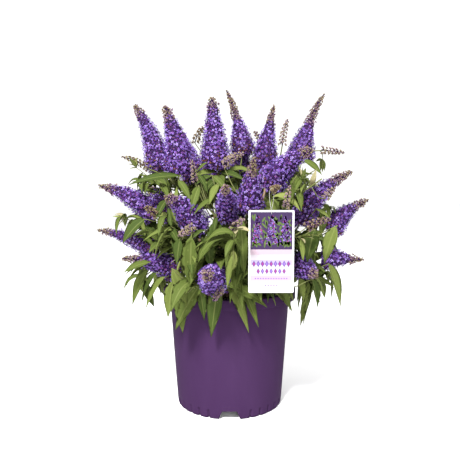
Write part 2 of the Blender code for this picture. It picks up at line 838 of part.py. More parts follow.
def fuse(name, pieces, collection):
    """All the pieces made one closed body, and the pieces removed."""
    first, *others = list(pieces.objects)
    whole = add_object(name, first.data, collection)
    bpy.data.objects.remove(first)
    union = whole.modifiers.new("union", "BOOLEAN")
    union.operation = "UNION"
    union.operand_type = "COLLECTION"
    union.collection = pieces
    union.solver = "MANIFOLD"
    mesh = evaluated_mesh(whole)
    keep_largest_shell(mesh)
    whole.modifiers.clear()
    whole.data = mesh
    mesh.name = name
    mesh.materials.clear()
    mesh.materials.append(new_material("foliage and blossom"))
    for piece in others:
        bpy.data.objects.remove(piece)
    bpy.data.collections.remove(pieces)


# Hang tag


def card_mesh():
    mesh = bpy.data.meshes.new("tag_card")
    shape = bmesh.new()
    bmesh.ops.create_cube(shape, size=1.0)
    size = Vector((TAG_WIDTH, TAG_THICKNESS, TAG_HEIGHT))
    bmesh.ops.scale(shape, vec=size, verts=shape.verts)
    corners = [
        edge for edge in shape.edges
        if abs(edge.verts[0].co.y - edge.verts[1].co.y) > TAG_THICKNESS / 2
    ]
    bmesh.ops.bevel(
        shape, geom=corners, offset=TAG_CORNER, segments=2, profile=0.5, affect="EDGES"
    )
    shape.to_mesh(mesh)
    shape.free()
    return mesh


def punch_cutter(cutters):
    mesh = bpy.data.meshes.new("tag_punch")
    shape = bmesh.new()
    bmesh.ops.create_cone(
        shape, segments=PUNCH_SIDES, radius1=TAG_HOLE_RADIUS, radius2=TAG_HOLE_RADIUS,
        depth=10 * TAG_THICKNESS, cap_ends=True,
    )
    shape.to_mesh(mesh)
    shape.free()
    punch = add_object("tag_punch", mesh, cutters)
    punch.rotation_euler.x = math.pi / 2
    punch.location = TAG_CENTRE + UP * (TAG_HEIGHT / 2 - TAG_HOLE_DROP)
    punch.hide_render = True
    punch.display_type = "WIRE"
    return punch


def build_tag(collection, cutters):
    """The card, with rounded corners and a punched hole under its top edge."""
    card = add_object("tag_card", card_mesh(), collection, "printed card")
    card.location = TAG_CENTRE
    cut = card.modifiers.new("hole", "BOOLEAN")
    cut.operation = "DIFFERENCE"
    cut.object = punch_cutter(cutters)


def build_tag_loop(collection):
    """A thin closed loop through the hole and over the shoot above, a quarter
    turned on the way so that it spans the card below and the shoot above."""
    low = TAG_CENTRE + UP * (TAG_HEIGHT / 2 - TAG_HOLE_DROP - TAG_LOOP_SINK)
    rise = UP * TAG_LOOP_RISE
    through_card = Vector((0.0, 1.0, 0.0))
    across_shoot = Vector((1.0, 0.0, 0.0))
    points = []
    for step in range(TAG_LOOP_STEPS):
        turn = 2 * math.pi * step / TAG_LOOP_STEPS
        share = (1 - math.cos(turn)) / 2
        side = through_card.lerp(across_shoot, share).normalized()
        swell = math.copysign(abs(math.sin(turn)) ** TAG_LOOP_FULLNESS, math.sin(turn))
        points.append(low + rise * share + side * TAG_LOOP_HALF_WIDTH * swell)
    radii = [TAG_LOOP_WIRE] * len(points)
    add_curve("tag_loop", points, radii, collection, "tag loop", closed=True)


def add_triangle(cutters):
    """The three-sided outline that twigs are drawn along."""
    curve = bpy.data.curves.new("twig_outline", "CURVE")
    curve.dimensions = "2D"
    line = curve.splines.new("POLY")
    line.points.add(2)
    line.use_cyclic_u = True
    for index, spot in enumerate(line.points):
        turn = 2 * math.pi * index / 3
        spot.co = (math.cos(turn), math.sin(turn), 0.0, 1.0)
    outline = add_object("twig_outline", curve, cutters)
    outline.hide_render = True
    outline.display_type = "WIRE"
    return outline


def main():
    clear_scene()
    collection = new_collection("butterfly_bush")
    cutters = new_collection("cutters")
    build_pot(collection, cutters)
    build_mix(collection)
    build_crown(collection)
    triangle = add_triangle(cutters)
    for name in MASSES:
        build_bough(name, collection)
        build_mass(name, collection, triangle)
    build_tag(collection, cutters)
    build_tag_loop(collection)


main()
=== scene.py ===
"""The looks of a potted butterfly bush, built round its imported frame.

Metres, +Z up, in the frame's own coordinates. The plant grows by the same rule as
its solids do: a place round the pot is an azimuth in degrees, 0 at the front and
growing towards +X, with a height and a reach out from the axis.
"""

import math
import random
from collections import namedtuple

import bpy
import numpy as np
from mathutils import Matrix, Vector


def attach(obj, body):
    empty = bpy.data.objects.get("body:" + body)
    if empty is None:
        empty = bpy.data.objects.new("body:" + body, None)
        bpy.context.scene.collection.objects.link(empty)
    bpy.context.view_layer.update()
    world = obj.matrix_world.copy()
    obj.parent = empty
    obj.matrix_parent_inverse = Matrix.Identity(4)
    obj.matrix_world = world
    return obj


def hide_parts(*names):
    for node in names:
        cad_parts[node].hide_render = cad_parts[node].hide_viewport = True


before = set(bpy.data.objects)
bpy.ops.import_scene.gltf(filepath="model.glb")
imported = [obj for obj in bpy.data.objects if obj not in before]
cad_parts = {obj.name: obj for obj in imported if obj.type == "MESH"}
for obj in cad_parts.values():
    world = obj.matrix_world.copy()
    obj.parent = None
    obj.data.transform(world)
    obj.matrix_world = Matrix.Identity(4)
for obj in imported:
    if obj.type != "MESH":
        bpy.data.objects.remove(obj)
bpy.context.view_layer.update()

SEED = 23
GAP = 0.0003
UP = Vector((0.0, 0.0, 1.0))
DOWN = np.array([0.0, 0.0, -1.0])
FRONT = np.array([0.0, -1.0, 0.0])

# Camera: the focal length is in pixels of the 460-pixel frame
CAMERA_PLACE = (0.001, -1.15, 0.467)
CAMERA_PITCH = 5.04
FOCAL_PIXELS = 548
FRAME_PIXELS = 460
SENSOR_WIDTH = 36.0

# Studio: each light's place, size and power. The floor is lit until it is white, so
# what stands on it has darker base colours
FLOOR_SIZE = 12.0
FLOOR_SHADE = 1.05
FLOOR_GLOW = 0.04
WORLD_STRENGTH = 1.18
STUDIO_SHARE = 0.77
LIGHT_TARGET = (0.0, 0.0, 0.35)
LIGHTS = {
    "key": ((-0.62, -2.0, 2.35), 0.55, 240),
    "fill": ((0.5, -2.7, 1.0), 1.4, 30),
    "back": ((0.3, 2.3, 2.4), 1.2, 24),
}

# Pot: a straight-sided nursery container with a turned-down lip
POT_HEIGHT = 0.245
POT_MOUTH_RADIUS = 0.127
POT_BASE_RADIUS = 0.1115
POT_WALL = 0.002
POT_COLUMNS = 640
LIP_RADIUS = 0.139
LIP_DROP = 0.020
LIP_ROUNDING = 0.0018
LIP_CORNER = 0.002
WALL_START = 0.004
WALL_END = 0.002
WALL_ROWS = 8
FLOOR_HUB = 0.002
FOOT_HEIGHT = 0.019
FOOT_WALL = 0.005
FOOT_ROUNDING = 0.003
FOOT_DRAFT = 0.003
FOOT_ROWS = (0.0, 0.06, 0.12, 0.18, 0.24, 0.5, 0.75, 0.88, 0.96, 1.0)
NOTCH_HEIGHT = 0.0175
NOTCH_TOP_WIDTH = 0.029
NOTCH_BOTTOM_WIDTH = 0.045
NOTCHES = 4
GROOVES = 32
GROOVE_DEPTH = 0.0036
GROOVE_WIDTH = 0.0021
GROOVE_LIFT = 0.0024
GROOVE_RUN_OUT = 0.24

# Potting mix, which stands a little under the rim
MIX_EDGE_HEIGHT = 0.222
MIX_HEIGHT = 0.227
MIX_DEPTH = 0.040
MIX_COLUMNS = 96
MIX_RINGS = 26
MIX_HUB = 0.001
MIX_LUMPS = 0.0011
CRUMBS = 1500
CRUMB_SIZES = (0.0016, 0.0042)
CRUMB_MARGIN = 0.005
CRUMB_LIFT = 0.0006

# Crown: the short stem that all boughs leave from
CROWN_HEIGHT = 0.048
CROWN_FOOT_RADIUS = 0.019
CROWN_RADIUS = 0.014
TOP_BOUGH_RING = 0.0092
TOP_BOUGH_TURN = 72
SIDE_BOUGH_HEIGHTS = (0.55, 0.80)

# Boughs
BOUGH_RADIUS = 0.0034
STRAIGHT_START = 0.002
BOUGH_LEAD = 0.010
BOUGH_TIP_ROOM = 0.016
BOUGH_STEPS = 5

# Bark: rings and sides of its tubes, and the ridges and knots that stand out
CROWN_RINGS = 36
CROWN_SIDES = 40
BOUGH_RINGS = 48
BOUGH_SIDES = 16
BARK_SINK = 0.004
CROWN_CAP = 0.002
CROWN_ROUNDING = ((0, 0.9, 1.05), (1, 1, 0.8))
BOUGH_TAPER = (1.25, 1, 0.72)
RIDGES = (5, 8, 13)
RIDGE_RELIEF = 0.22
KNOT_RELIEF = 0.16
KNOT_EVERY = 14

# Shoots and twigs, as the solids have them
STEM_RADIUS = 0.0022
SHOOT_RADIUS = 0.0017
SHOOT_TIP_RADIUS = 0.0012
SHOOT_STEPS = 3
SHOOT_EASE = 0.4
FORK_SHARE = 0.4
FORK_STEP = 0.0013
TWIG_LENGTH = 0.085
TWIG_TRIES = 30
TWIG_TURN = 75
TWIG_RISES = (-30, 55)
TWIGS_PER_TOP_MASS = 5
TWIGS_PER_SIDE_MASS = 3
SKIRT_TURNS = (-17, 17)
SKIRT_REACH = 0.185
SKIRT_HEIGHT = 0.275
SKIRT_FALL = 0.3

# Finer twigs, which only the looks have
SPRIG_LENGTH = 0.060
SPRIG_RADIUS = 0.0011
SPRIG_TIP_RADIUS = 0.0006
SPRIGS_PER_MASS = 11
TWIG_SIDES = 6
TWIG_STEPS = 7
JOIN_TIP_RADIUS = 0.00084
JOIN_CHOICES = 60
JOIN_STEP = 12

# Flower heads: spindles of florets, then a tail of closed buds. How their radius
# runs is in shares of their half width
HEAD_BOW = 0.085
HEAD_SINK = 0.12
HEAD_FOOT = 0.78
HEAD_SWELL = 2.2
HEAD_FULLEST = 1.1
HEAD_TAPER = 0.72
HEAD_TAPER_POWER = 1.2
TAIL_TIP = 0.07
TAIL_TAPER = 0.29
YOUNG_FULLNESS = 1.45

# From the first radius up, rings and knobs of florets have their full size, and
# from the second, clusters have their full count of buds
WIDE_RADIUS = 0.02
THIN_RADIUS = 0.004

# Florets: two layers over the head, in knobs with clefts between them. A lobe's
# corners are (reach, turn, lift), and it, the eye and the tube are in floret radii
KNOB_SPACING = 0.0105
KNOB_RELIEF = 0.0052
FLORET_RADIUS = 0.0027
FLORET_SPACING = 0.0052
FLORET_LEVEL = 0.92
FLORET_REACH = 1.04
FLORET_LEANS = (-0.6, 0.0, 0.25, 0.8)
LAST_FLORET = 0.62
INNER_INSET = 0.0042
INNER_SPACING = 1.2
FLORET_LOBE = ((0.15, 0, 0.0), (0.68, -0.50, 0.10), (1.08, 0, -0.04), (0.68, 0.50, 0.10))
EYE_RADIUS = 0.30
EYE_LIFT = 0.05
SECOND_EYE_SHARE = 0.35
TUBE_LENGTH = 1.6
FLORET_SIZES = (0.78, 1.18)
FLORET_TILT = 0.36
FLORET_SCATTER = 0.0007
STRAY_SHARE = 0.025
STRAY_REACH = 0.0026
# Most florets in the clefts, below this lift, take the near-black colour: painted shade
CLEFT_LIFT = 0.28
CLEFT_SHADE_SHARE = 0.6
FADED_SHARES = ((0, 0.25, 0.4), (0.22, 0.05, 0.01))

# Buds: clusters over the tail of a head and in crossed pairs along a young spike
BUDS_FROM = 0.93
BUD_LEVEL = 0.0054
BUD_SPACING = 0.0066
BUD_LENGTH = 0.0036
BUD_WIDTH = 0.0012
BUD_GIRTH = 0.52
BUD_BELLY = 0.62
BUD_SPREAD = 0.95
CLUSTER_COUNTS = (6, 4)
CLUSTER_RADII = (0.0016, 0.0034)
TIP_TONE_SHARES = (0.30, 0.90)
DARK_BUD_SHARE = 0.42
BUD_PAIR_STEP = 0.0040
YOUNG_STEM_MARGIN = 0.0010
YOUNG_CLUSTER_COUNTS = (15, 9)
YOUNG_CLUSTER_REACH = 0.48
YOUNG_CLUSTER_RADIUS = 0.70

# Cores: what shows between the florets, near black with painted shade
CORE_RINGS = 18
CORE_SIDES = 12
CORE_LUMPS = (0.80, 1.12)
CORE_SHARE = 0.86
CORE_TAIL_SHARE = 0.50
YOUNG_STEM_RADIUS = 0.0011

# Leaves: lance-shaped, in opposite pairs that cross, drooping
LEAF_LENGTH = 0.118
LEAF_WIDTH_SHARE = 0.30
LEAF_LENGTHS = (0.66, 1.12)
LEAF_WIDTHS = (0.88, 1.08)
LEAF_THICKNESS = 0.0003
LEAF_FOLDS = (0.15, 0.65)
LEAF_TWIST = 0.5
LEAF_ROLL = 0.5
VEIN_RELIEF = 0.022
EDGE_RIPPLE = 0.03
LEAF_ROWS = 9
LEAF_SIDES = (-1.0, -0.55, -0.09, 0.09, 0.55, 1.0)
LEAF_SPACING = 0.017
LEAF_CHOICES = 14
BLADE_OUTWARD = 0.8
HEAD_VIEW = 0.12
HEAD_VIEW_SHARE = 0.75
LEAF_APART = 0.0135
LEAVES_PER_MASS = 96
TUFT_LEAVES = 5
YOUNG_TUFT_LEAVES = 3
TUFT_LENGTHS = (0.016, 0.036)
TOP_DROOPS = (0.1, 0.9)
SIDE_DROOPS = (0.25, 1.35)

# Dome that the leaves fill, below and between the flower heads
LEAF_DOME_MIDDLE = 0.300
LEAF_DOME_RISE = 0.235
LEAF_DOME_REACH = 0.240
LEAF_DOME_TUCK = 0.20
LEAF_LOWEST = (0.205, 0.295)
LEAF_OVER_POT = 0.250
LEAF_POT_REACH = 0.025
OVER_POT_CHANCE = 0.18

# Clearances
SPACE_MARGIN = 0.0015
LEAF_SPACE_MARGIN = -0.014
TWIG_LIMB_MARGIN = 0.004
POT_MARGIN = 0.003
MIX_MARGIN = 0.004
MOUTH_MARGIN = 0.008
HEAD_ROOM = 0.002

# Hang tag
TAG_WIDTH = 0.080
TAG_HEIGHT = 0.146
TAG_THICKNESS = 0.0009
TAG_CENTRE = Vector((0.0734, -0.195, 0.3445))
TAG_HOLE_DROP = 0.0055
TAG_LOOP_WIRE = 0.00042
TAG_LOOP_RISE = 0.0445
TAG_LOOP_HALF_WIDTH = 0.0046
TAG_LOOP_SINK = 0.0014
TAG_LOOP_FULLNESS = 0.6
TAG_LOOP_STEPS = 72
TAG_CLEARANCE = 0.012
TAG_BORDER = 0.0032
PRINT_DEPTH = 0.00012
PRINT_GAP = 0.00003

# What is printed on the tag. Measures are in metres, across and up from its middle:
# sprays have (across, foot, length), diamond rows (up, count, half width, half height)
# and dot rows (up, count, step, radius)
PRINT_SPLIT = 0.004
PRINT_LEAVES = 95
PRINT_LEAF_MARGIN = 0.009
PRINT_LEAF_HALF_WIDTH = 0.0016
PRINT_LEAF_LENGTHS = (0.004, 0.0075)
PRINT_SPRAYS = ((-0.024, 0.016, 0.048), (0.001, 0.014, 0.052), (0.025, 0.018, 0.045))
PRINT_SPRAY_REACH = 0.0105
PRINT_FLORETS = 150
PRINT_FLORET_SIZES = (0.0009, 0.0017)
PRINT_DIAMONDS = ((-0.0215, 9, 0.0033, 0.0058), (-0.0345, 7, 0.0030, 0.0052))
PRINT_DIAMOND_STEP = 0.0076
PRINT_DIAMOND_HEART = 0.62
PRINT_DOTS = ((-0.0475, 13, 0.0046, 0.0015), (-0.0598, 5, 0.005, 0.0010))

# One flower head: where its tip is, how steeply it rises, how far it swings off
# its own azimuth, its size, and the share of it that is in open flower
Head = namedtuple("Head", "azimuth height reach rise swing length width bloom")

# One mass of foliage: the middle of its space, and the heads that its shoots bear
Mass = namedtuple("Mass", "azimuth height reach heads")

TOP_MASSES = {
    "foliage_top_left": Mass(-98, 0.513, 0.154, (
        Head(-112, 0.637, 0.228, 65, -7, 0.165, 0.058, 0.85),
        Head(-67, 0.617, 0.139, 75, 10, 0.142, 0.066, 0.85),
        Head(-97, 0.520, 0.232, 24, -2, 0.068, 0.013, 0.0),
    )),
    "foliage_top_middle": Mass(180, 0.522, 0.057, (
        Head(-50, 0.637, 0.046, 85, 21, 0.145, 0.062, 0.88),
        Head(-176, 0.674, 0.110, 70, 41, 0.160, 0.056, 0.55),
    )),
    "foliage_top_right": Mass(109, 0.536, 0.115, (
        Head(102, 0.628, 0.096, 80, 17, 0.128, 0.050, 0.72),
        Head(113, 0.662, 0.229, 67, 4, 0.165, 0.060, 0.55),
        Head(90, 0.597, 0.121, 78, 0, 0.057, 0.013, 0.0),
        Head(97, 0.528, 0.248, -6, 4, 0.054, 0.013, 0.0),
    )),
    "foliage_top_back_right": Mass(154, 0.480, 0.139, (
        Head(150, 0.605, 0.200, 64, 4, 0.150, 0.060, 0.80),
        Head(170, 0.580, 0.215, 52, 0, 0.140, 0.056, 0.85),
        Head(132, 0.540, 0.255, 42, -4, 0.070, 0.014, 0.0),
    )),
    "foliage_top_back_left": Mass(-148, 0.500, 0.118, (
        Head(-142, 0.595, 0.205, 62, 3, 0.150, 0.058, 0.80),
        Head(-166, 0.600, 0.190, 62, 0, 0.140, 0.058, 0.75),
    )),
}
SIDE_MASSES = {
    "foliage_front_middle": Mass(8, 0.374, 0.144, (
        Head(12, 0.509, 0.205, 58, -6, 0.112, 0.052, 0.70),
        Head(-2, 0.460, 0.225, 31, 0, 0.120, 0.044, 0.80),
        Head(-8, 0.315, 0.272, 16, 2, 0.120, 0.054, 0.90),
        Head(-7, 0.262, 0.225, -28, -24, 0.033, 0.011, 0.0),
    )),
    "foliage_front_right": Mass(46, 0.401, 0.185, (
        Head(45, 0.526, 0.213, 35, 4, 0.122, 0.059, 0.85),
        Head(38, 0.302, 0.250, -4, -22, 0.092, 0.047, 0.85),
        Head(19.9, 0.459, 0.250, 12, 0, 0.034, 0.009, 0.0),
    )),
    "foliage_right": Mass(73, 0.391, 0.181, (
        Head(74, 0.488, 0.253, 43, 5, 0.152, 0.060, 0.75),
        Head(86, 0.430, 0.288, 40, -10, 0.104, 0.052, 0.75),
        Head(80, 0.309, 0.276, -1, -3, 0.085, 0.050, 0.72),
    )),
    "foliage_back_right": Mass(131, 0.344, 0.202, (
        Head(126, 0.455, 0.270, 36, 3, 0.142, 0.058, 0.80),
        Head(140, 0.340, 0.275, 12, -4, 0.125, 0.052, 0.80),
    )),
    "foliage_back_middle": Mass(176, 0.385, 0.189, (
        Head(176, 0.470, 0.262, 38, 4, 0.142, 0.058, 0.85),
        Head(-172, 0.335, 0.268, 10, -6, 0.120, 0.052, 0.85),
    )),
    "foliage_back_left": Mass(-130, 0.354, 0.200, (
        Head(-130, 0.460, 0.268, 34, -4, 0.142, 0.058, 0.75),
        Head(-142, 0.330, 0.274, 8, 4, 0.125, 0.052, 0.80),
    )),
    "foliage_left": Mass(-87, 0.378, 0.202, (
        Head(-82, 0.459, 0.268, 28, 1, 0.134, 0.056, 0.82),
        Head(-96, 0.363, 0.288, 19, -2, 0.146, 0.046, 0.80),
    )),
    "foliage_front_left": Mass(-37, 0.390, 0.157, (
        Head(-29, 0.441, 0.228, 34, -4, 0.114, 0.056, 0.88),
        Head(-55, 0.325, 0.245, 14, -14, 0.114, 0.052, 0.75),
        Head(-24, 0.373, 0.219, -16, -17, 0.041, 0.014, 0.0),
    )),
}
MASSES = TOP_MASSES | SIDE_MASSES

# A long leaf or young spike that shows singly: where it starts, where its tip is, and
# its width
Span = namedtuple("Span", "start tip width")


def spans(rows):
    """The spans that the rows give in millimetres."""
    metres = [[number / 1000 for number in row] for row in rows]
    return [Span(tuple(row[:3]), tuple(row[3:6]), row[6]) for row in metres]


# Long leaves that show singly from the front. The last five are further in, and fill
# a gap between the heads. Those in the fringe, which hang before the pot, hang at its
# sides as well
FRINGE_HALF_WIDTH = 0.125
FRINGE_HEIGHT = 0.33
LONG_LEAF_DEAL = (0, 0, 1, 1, 1, 2)
LONG_LEAF_ROLL = 0.2
LONG_LEAF_DROOP = 0.18
STEEP_LEAF_DROOP = 0.27
FITTING_ROUNDS = 8
LONG_LEAVES = spans((
    (-15, -150, 320, 36, -150, 187, 27), (-4, -150, 320, 54, -150, 197, 25),
    (-18, -165, 290, -34, -152, 179, 28), (-46, -162, 288, -101, -144, 191, 30),
    (-95, -150, 260, -88, -140, 184, 22), (-55, -160, 275, -47, -150, 210, 19),
    (-8, -185, 286, 69, -165, 238, 24), (69, -175, 272, 85, -160, 240, 20),
    (95, -160, 268, 113, -145, 227, 24), (-104, -150, 285, -116, -135, 212, 24),
    (-104, -165, 310, -78, -158, 236, 27), (-119, -150, 292, -158, -130, 228, 24),
    (130, -140, 290, 140, -130, 240, 20), (-135, -140, 298, -168, -120, 236, 24),
    (-153, -120, 302, -187, -110, 230, 24), (-148, -140, 318, -195, -150, 300, 20),
    (-159, -120, 397, -200, -130, 352, 24), (-67, -190, 372, -71, -175, 278, 31),
    (-87, -190, 368, -94, -180, 318, 20), (-42, -185, 370, -33, -185, 312, 26),
    (20, -190, 405, 26, -175, 292, 23), (184, -140, 315, 212, -120, 229, 25),
    (153, -170, 382, 141, -165, 322, 30), (199, -130, 385, 178, -130, 314, 26),
    (151, -160, 290, 165, -140, 232, 22), (161, -140, 288, 182, -120, 244, 16),
    (-94, -80, 478, -192, -100, 461, 20), (142, -80, 510, 176, -100, 480, 18),
    (-63, -110, 485, -40, -130, 503, 12), (-59, -120, 481, -39, -150, 444, 15),
    (-98, -100, 470, -72, -130, 430, 16), (-136, -70, 464, -116, -100, 430, 15),
    (-56, -140, 459, -70, -170, 410, 17), (-28, -140, 437, -64, -170, 408, 16),
    (-120, -110, 432, -136, -140, 396, 15), (-21, -130, 463, -36, -160, 426, 16),
    (-33, -100, 478, -4, -120, 447, 15), (135, -110, 478, 113, -140, 440, 22),
    (166, -100, 415, 192, -120, 393, 14), (-6, -120, 459, -21, -150, 417, 16),
    (-44, -170, 381, -80, -190, 350, 16), (-33, -110, 478, -62, -130, 462, 13),
    (-18, -10, 472, 22, -70, 436, 24), (-20, -10, 474, -55, -70, 440, 23),
    (-25, -16, 486, 30, -45, 470, 22), (-26, -16, 488, -80, -40, 474, 21),
    (-22, -20, 480, -15, -78, 455, 22),
))

# Young spikes that grow between the masses
YOUNG_SPIKES = spans((
    (-70, -30, 545, -52, -50, 575, 13), (99, -190, 419, 104, -210, 460, 10),
    (179, -120, 435, 195, -140, 455, 12), (133, -195, 386, 175, -210, 403, 13),
    (4, -200, 380, 26, -212, 403, 14), (-137, -130, 405, -155, -150, 420, 14),
    (-66, -100, 465, -71, -120, 510, 9), (-12, -120, 498, 27, -150, 518, 14),
))

# Base colours, linear, as they show in the studio
# The fourth floret colour, near black, is painted shade in the clefts and among the sunk inner
# florets, and is also a dark tone dealt at random on the outer layer
FLORET_COLOURS = (
    (0.222, 0.140, 0.480),
    (0.130, 0.070, 0.325),
    (0.345, 0.260, 0.630),
    (0.040, 0.017, 0.110),
    (0.150, 0.058, 0.265),
)
FLORET_DEAL = (0.32, 0.26, 0.14, 0.20, 0.08)
# The sunk inner layer is half near black: painted shade
INNER_DEAL_WITH_SHADE = (0.10, 0.22, 0.03, 0.50, 0.15)
CLEFT_SHADE_TONE = 3
EYE_COLOURS = ((0.230, 0.030, 0.110), (0.350, 0.120, 0.020))
FADED_COLOUR = (0.075, 0.036, 0.022)
BUD_COLOURS = (
    (0.205, 0.135, 0.170),
    (0.125, 0.062, 0.125),
    (0.215, 0.175, 0.095),
    (0.105, 0.070, 0.045),
)
# A calyx colour darkened to near black: painted shade deep in the heads
CALYX_AND_SHADE_COLOUR = (0.026, 0.012, 0.040)
LEAF_TONES = {
    "deep": (0.039, 0.059, 0.013),
    "green": (0.067, 0.090, 0.020),
    "bright": (0.104, 0.130, 0.032),
    "fresh": (0.156, 0.180, 0.050),
    "young": (0.270, 0.240, 0.135),
}
TONE_DEAL = (0.34, 0.34, 0.22, 0.10)
SPRAY_TONE_SHARE = 0.65
UNDER_COLOUR = (0.098, 0.122, 0.032)
RIB_COLOUR = (0.180, 0.200, 0.065)
RIB_SHARE = 0.32
TWIG_COLOUR = (0.115, 0.125, 0.045)
SPIKE_TONES = ((3, 2, 3), (2, 0), (0, 2), (3, 1, 2), (0, 1, 2))

# How rough each finish is, and how much of the light it mirrors
SHEENS = {
    "leaf": (0.50, 0.03),
    "petal": (0.70, 0.04),
    "bark": (0.85, 0.30),
    "pot": (0.60, 0.01),
    "mix": (0.95, 0.20),
    "card": (0.42, 0.12),
    "strand": (0.30, 0.30),
}

# Patterned materials: a plain colour for where patterns aren't shown, and colours by
# place in a noise pattern, from its low parts to its high ones
BARK_COLOUR = (0.20, 0.14, 0.08)
POT_COLOUR = (0.10, 0.05, 0.14)
MIX_COLOUR = (0.030, 0.020, 0.012)
BARK_STOPS = (
    (0.30, (0.085, 0.055, 0.030)),
    (0.52, (0.230, 0.155, 0.085)),
    (0.72, (0.360, 0.270, 0.170)),
)
POT_STOPS = (
    (0.25, (0.037, 0.016, 0.051)),
    (0.55, (0.040, 0.018, 0.055)),
    (0.80, (0.044, 0.020, 0.060)),
)
MIX_STOPS = (
    (0.35, (0.008, 0.006, 0.004)),
    (0.55, (0.032, 0.020, 0.012)),
    (0.75, (0.110, 0.068, 0.038)),
)

# Crumbs: colour, roughness, and the share of them that each kind is
CRUMB_KINDS = {
    "bark crumb": ((0.075, 0.042, 0.022), 0.90, 0.50),
    "peat crumb": ((0.022, 0.014, 0.009), 0.95, 0.46),
    "pale grit": ((0.420, 0.380, 0.320), 0.90, 0.04),
}

# Tag: its strand, its card and the inks of its print
STRAND_COLOUR = (0.33, 0.33, 0.29)
CARD_COLOUR = (0.56, 0.56, 0.57)
PRINT_COLOURS = {
    "print white": (0.375, 0.345, 0.375),
    "print blush": (0.345, 0.262, 0.312),
    "print lavender": (0.275, 0.238, 0.345),
    "print shade": (0.028, 0.014, 0.050),
    "print leaf": (0.062, 0.098, 0.020),
    "print violet": (0.085, 0.032, 0.190),
    "print lilac": (0.175, 0.105, 0.330),
    "print magenta": (0.210, 0.028, 0.150),
}


# Places and curves


def outward(azimuth):
    turn = math.radians(azimuth)
    return Vector((math.sin(turn), -math.cos(turn), 0.0))


def place(azimuth, height, reach):
    return outward(azimuth) * reach + UP * height


def bezier(points, share):
    """The point at this share of a Bezier curve, by repeated interpolation."""
    while len(points) > 1:
        points = [a.lerp(b, share) for a, b in zip(points, points[1:])]
    return points[0]


def route(control, steps):
    return [bezier(control, step / steps) for step in range(steps + 1)]


def way_between(start, end):
    return (end - start).normalized()


def unit(vectors):
    return vectors / np.maximum(np.linalg.norm(vectors, axis=-1, keepdims=True), 1e-12)


def turns_round(count):
    return 2 * math.pi * np.arange(count) / count


def swung(across, above, turns):
    """The directions at these turns from across towards above."""
    turns = turns[..., None]
    return across * np.cos(turns) + above * np.sin(turns)


def taper(start, end, count):
    return [start + (end - start) * index / (count - 1) for index in range(count)]


def smoothed(points, steps):
    """A smooth line with this many steps through the points, by Catmull-Rom."""
    line = np.array(points, float)
    padded = np.concatenate([2 * line[:1] - line[1:2], line, 2 * line[-1:] - line[-2:-1]])
    spots = np.linspace(0, len(line) - 1, steps + 1)
    index = np.minimum(spots.astype(int), len(line) - 2)
    share = (spots - index)[:, None]
    a, b, c, d = (padded[index + offset] for offset in range(4))
    return 0.5 * (
        2 * b
        + (c - a) * share
        + (2 * a - 5 * b + 4 * c - d) * share**2
        + (3 * b - a - 3 * c + d) * share**3
    )


# The plant's rule, as its solids follow it


CENTRES = {name: place(mass.azimuth, mass.height, mass.reach) for name, mass in MASSES.items()}


def spaces_left(name, points):
    """How far inside the mass's own space each point is. Every point belongs to
    the mass whose centre is nearest."""
    own = np.array(CENTRES[name])
    others = np.array([centre for other, centre in CENTRES.items() if other != name])
    points = np.asarray(points, float)
    apart = ((points[..., None, :] - others) ** 2).sum(-1)
    apart -= ((points - own) ** 2).sum(-1)[..., None]
    return (apart / (2 * np.linalg.norm(others - own, axis=1))).min(axis=-1)


def crown_radius(share):
    """The crown's radius at this share of its height: it swells towards its foot."""
    return CROWN_RADIUS + (CROWN_FOOT_RADIUS - CROWN_RADIUS) * (1 - share) ** 2


def bough_foot(name):
    """Where the bough leaves the crown, and the direction it leaves in."""
    crown_base = MIX_HEIGHT + GAP
    if name in TOP_MASSES:
        slot = list(TOP_MASSES).index(name)
        azimuth = TOP_BOUGH_TURN * slot - 90
        height = crown_base + CROWN_HEIGHT + GAP
        return place(azimuth, height, TOP_BOUGH_RING), UP
    azimuth = MASSES[name].azimuth
    level = SIDE_BOUGH_HEIGHTS[list(SIDE_MASSES).index(name) % 2]
    height = crown_base + CROWN_HEIGHT * level
    reach = crown_radius(level - BOUGH_RADIUS / CROWN_HEIGHT) + 2 * GAP
    return place(azimuth, height, reach), outward(azimuth)


def bough_tip(name):
    """The first point on the way to the mass's centre that is well inside its space."""
    foot, _ = bough_foot(name)
    for step in range(20, 100):
        tip = foot.lerp(CENTRES[name], step / 100)
        if spaces_left(name, tip) > BOUGH_TIP_ROOM:
            return tip
    return tip


def bough_route(name):
    foot, leaving = bough_foot(name)
    tip = bough_tip(name)
    rise = Vector((tip.x, tip.y, foot.z)).lerp(tip, 0.35)
    bend = foot.lerp(rise, 0.55)
    start = foot + leaving * STRAIGHT_START
    return [foot] + route([start, start + leaving * BOUGH_LEAD, bend, tip], BOUGH_STEPS)


def sampled(points, step=0.004):
    """Points close together along the line."""
    found = []
    for start, end in zip(points, points[1:]):
        count = max(1, int((end - start).length / step))
        found += [start.lerp(end, index / count) for index in range(count)]
    return np.array(found + [points[-1]])


LIMB_POINTS = np.concatenate(
    [sampled(bough_route(name)) for name in MASSES]
    + [sampled([UP * MIX_HEIGHT, UP * (MIX_HEIGHT + CROWN_HEIGHT)])]
)


def nearest(points, line):
    """The distance from each point to the nearest point of the line."""
    return np.linalg.norm(points[..., None, :] - line, axis=-1).min(axis=-1)


def in_the_dome(points):
    """True for points inside the dome that the leaves fill: square-shouldered, and
    tucked in a little below its widest level."""
    over = points[..., 2] - LEAF_DOME_MIDDLE
    widest = LEAF_DOME_REACH + LEAF_DOME_TUCK * np.minimum(over, 0)
    reach = np.hypot(points[..., 0], points[..., 1]) / widest
    rise = np.maximum(over, 0) / LEAF_DOME_RISE
    return reach**3 + rise**3 < 1


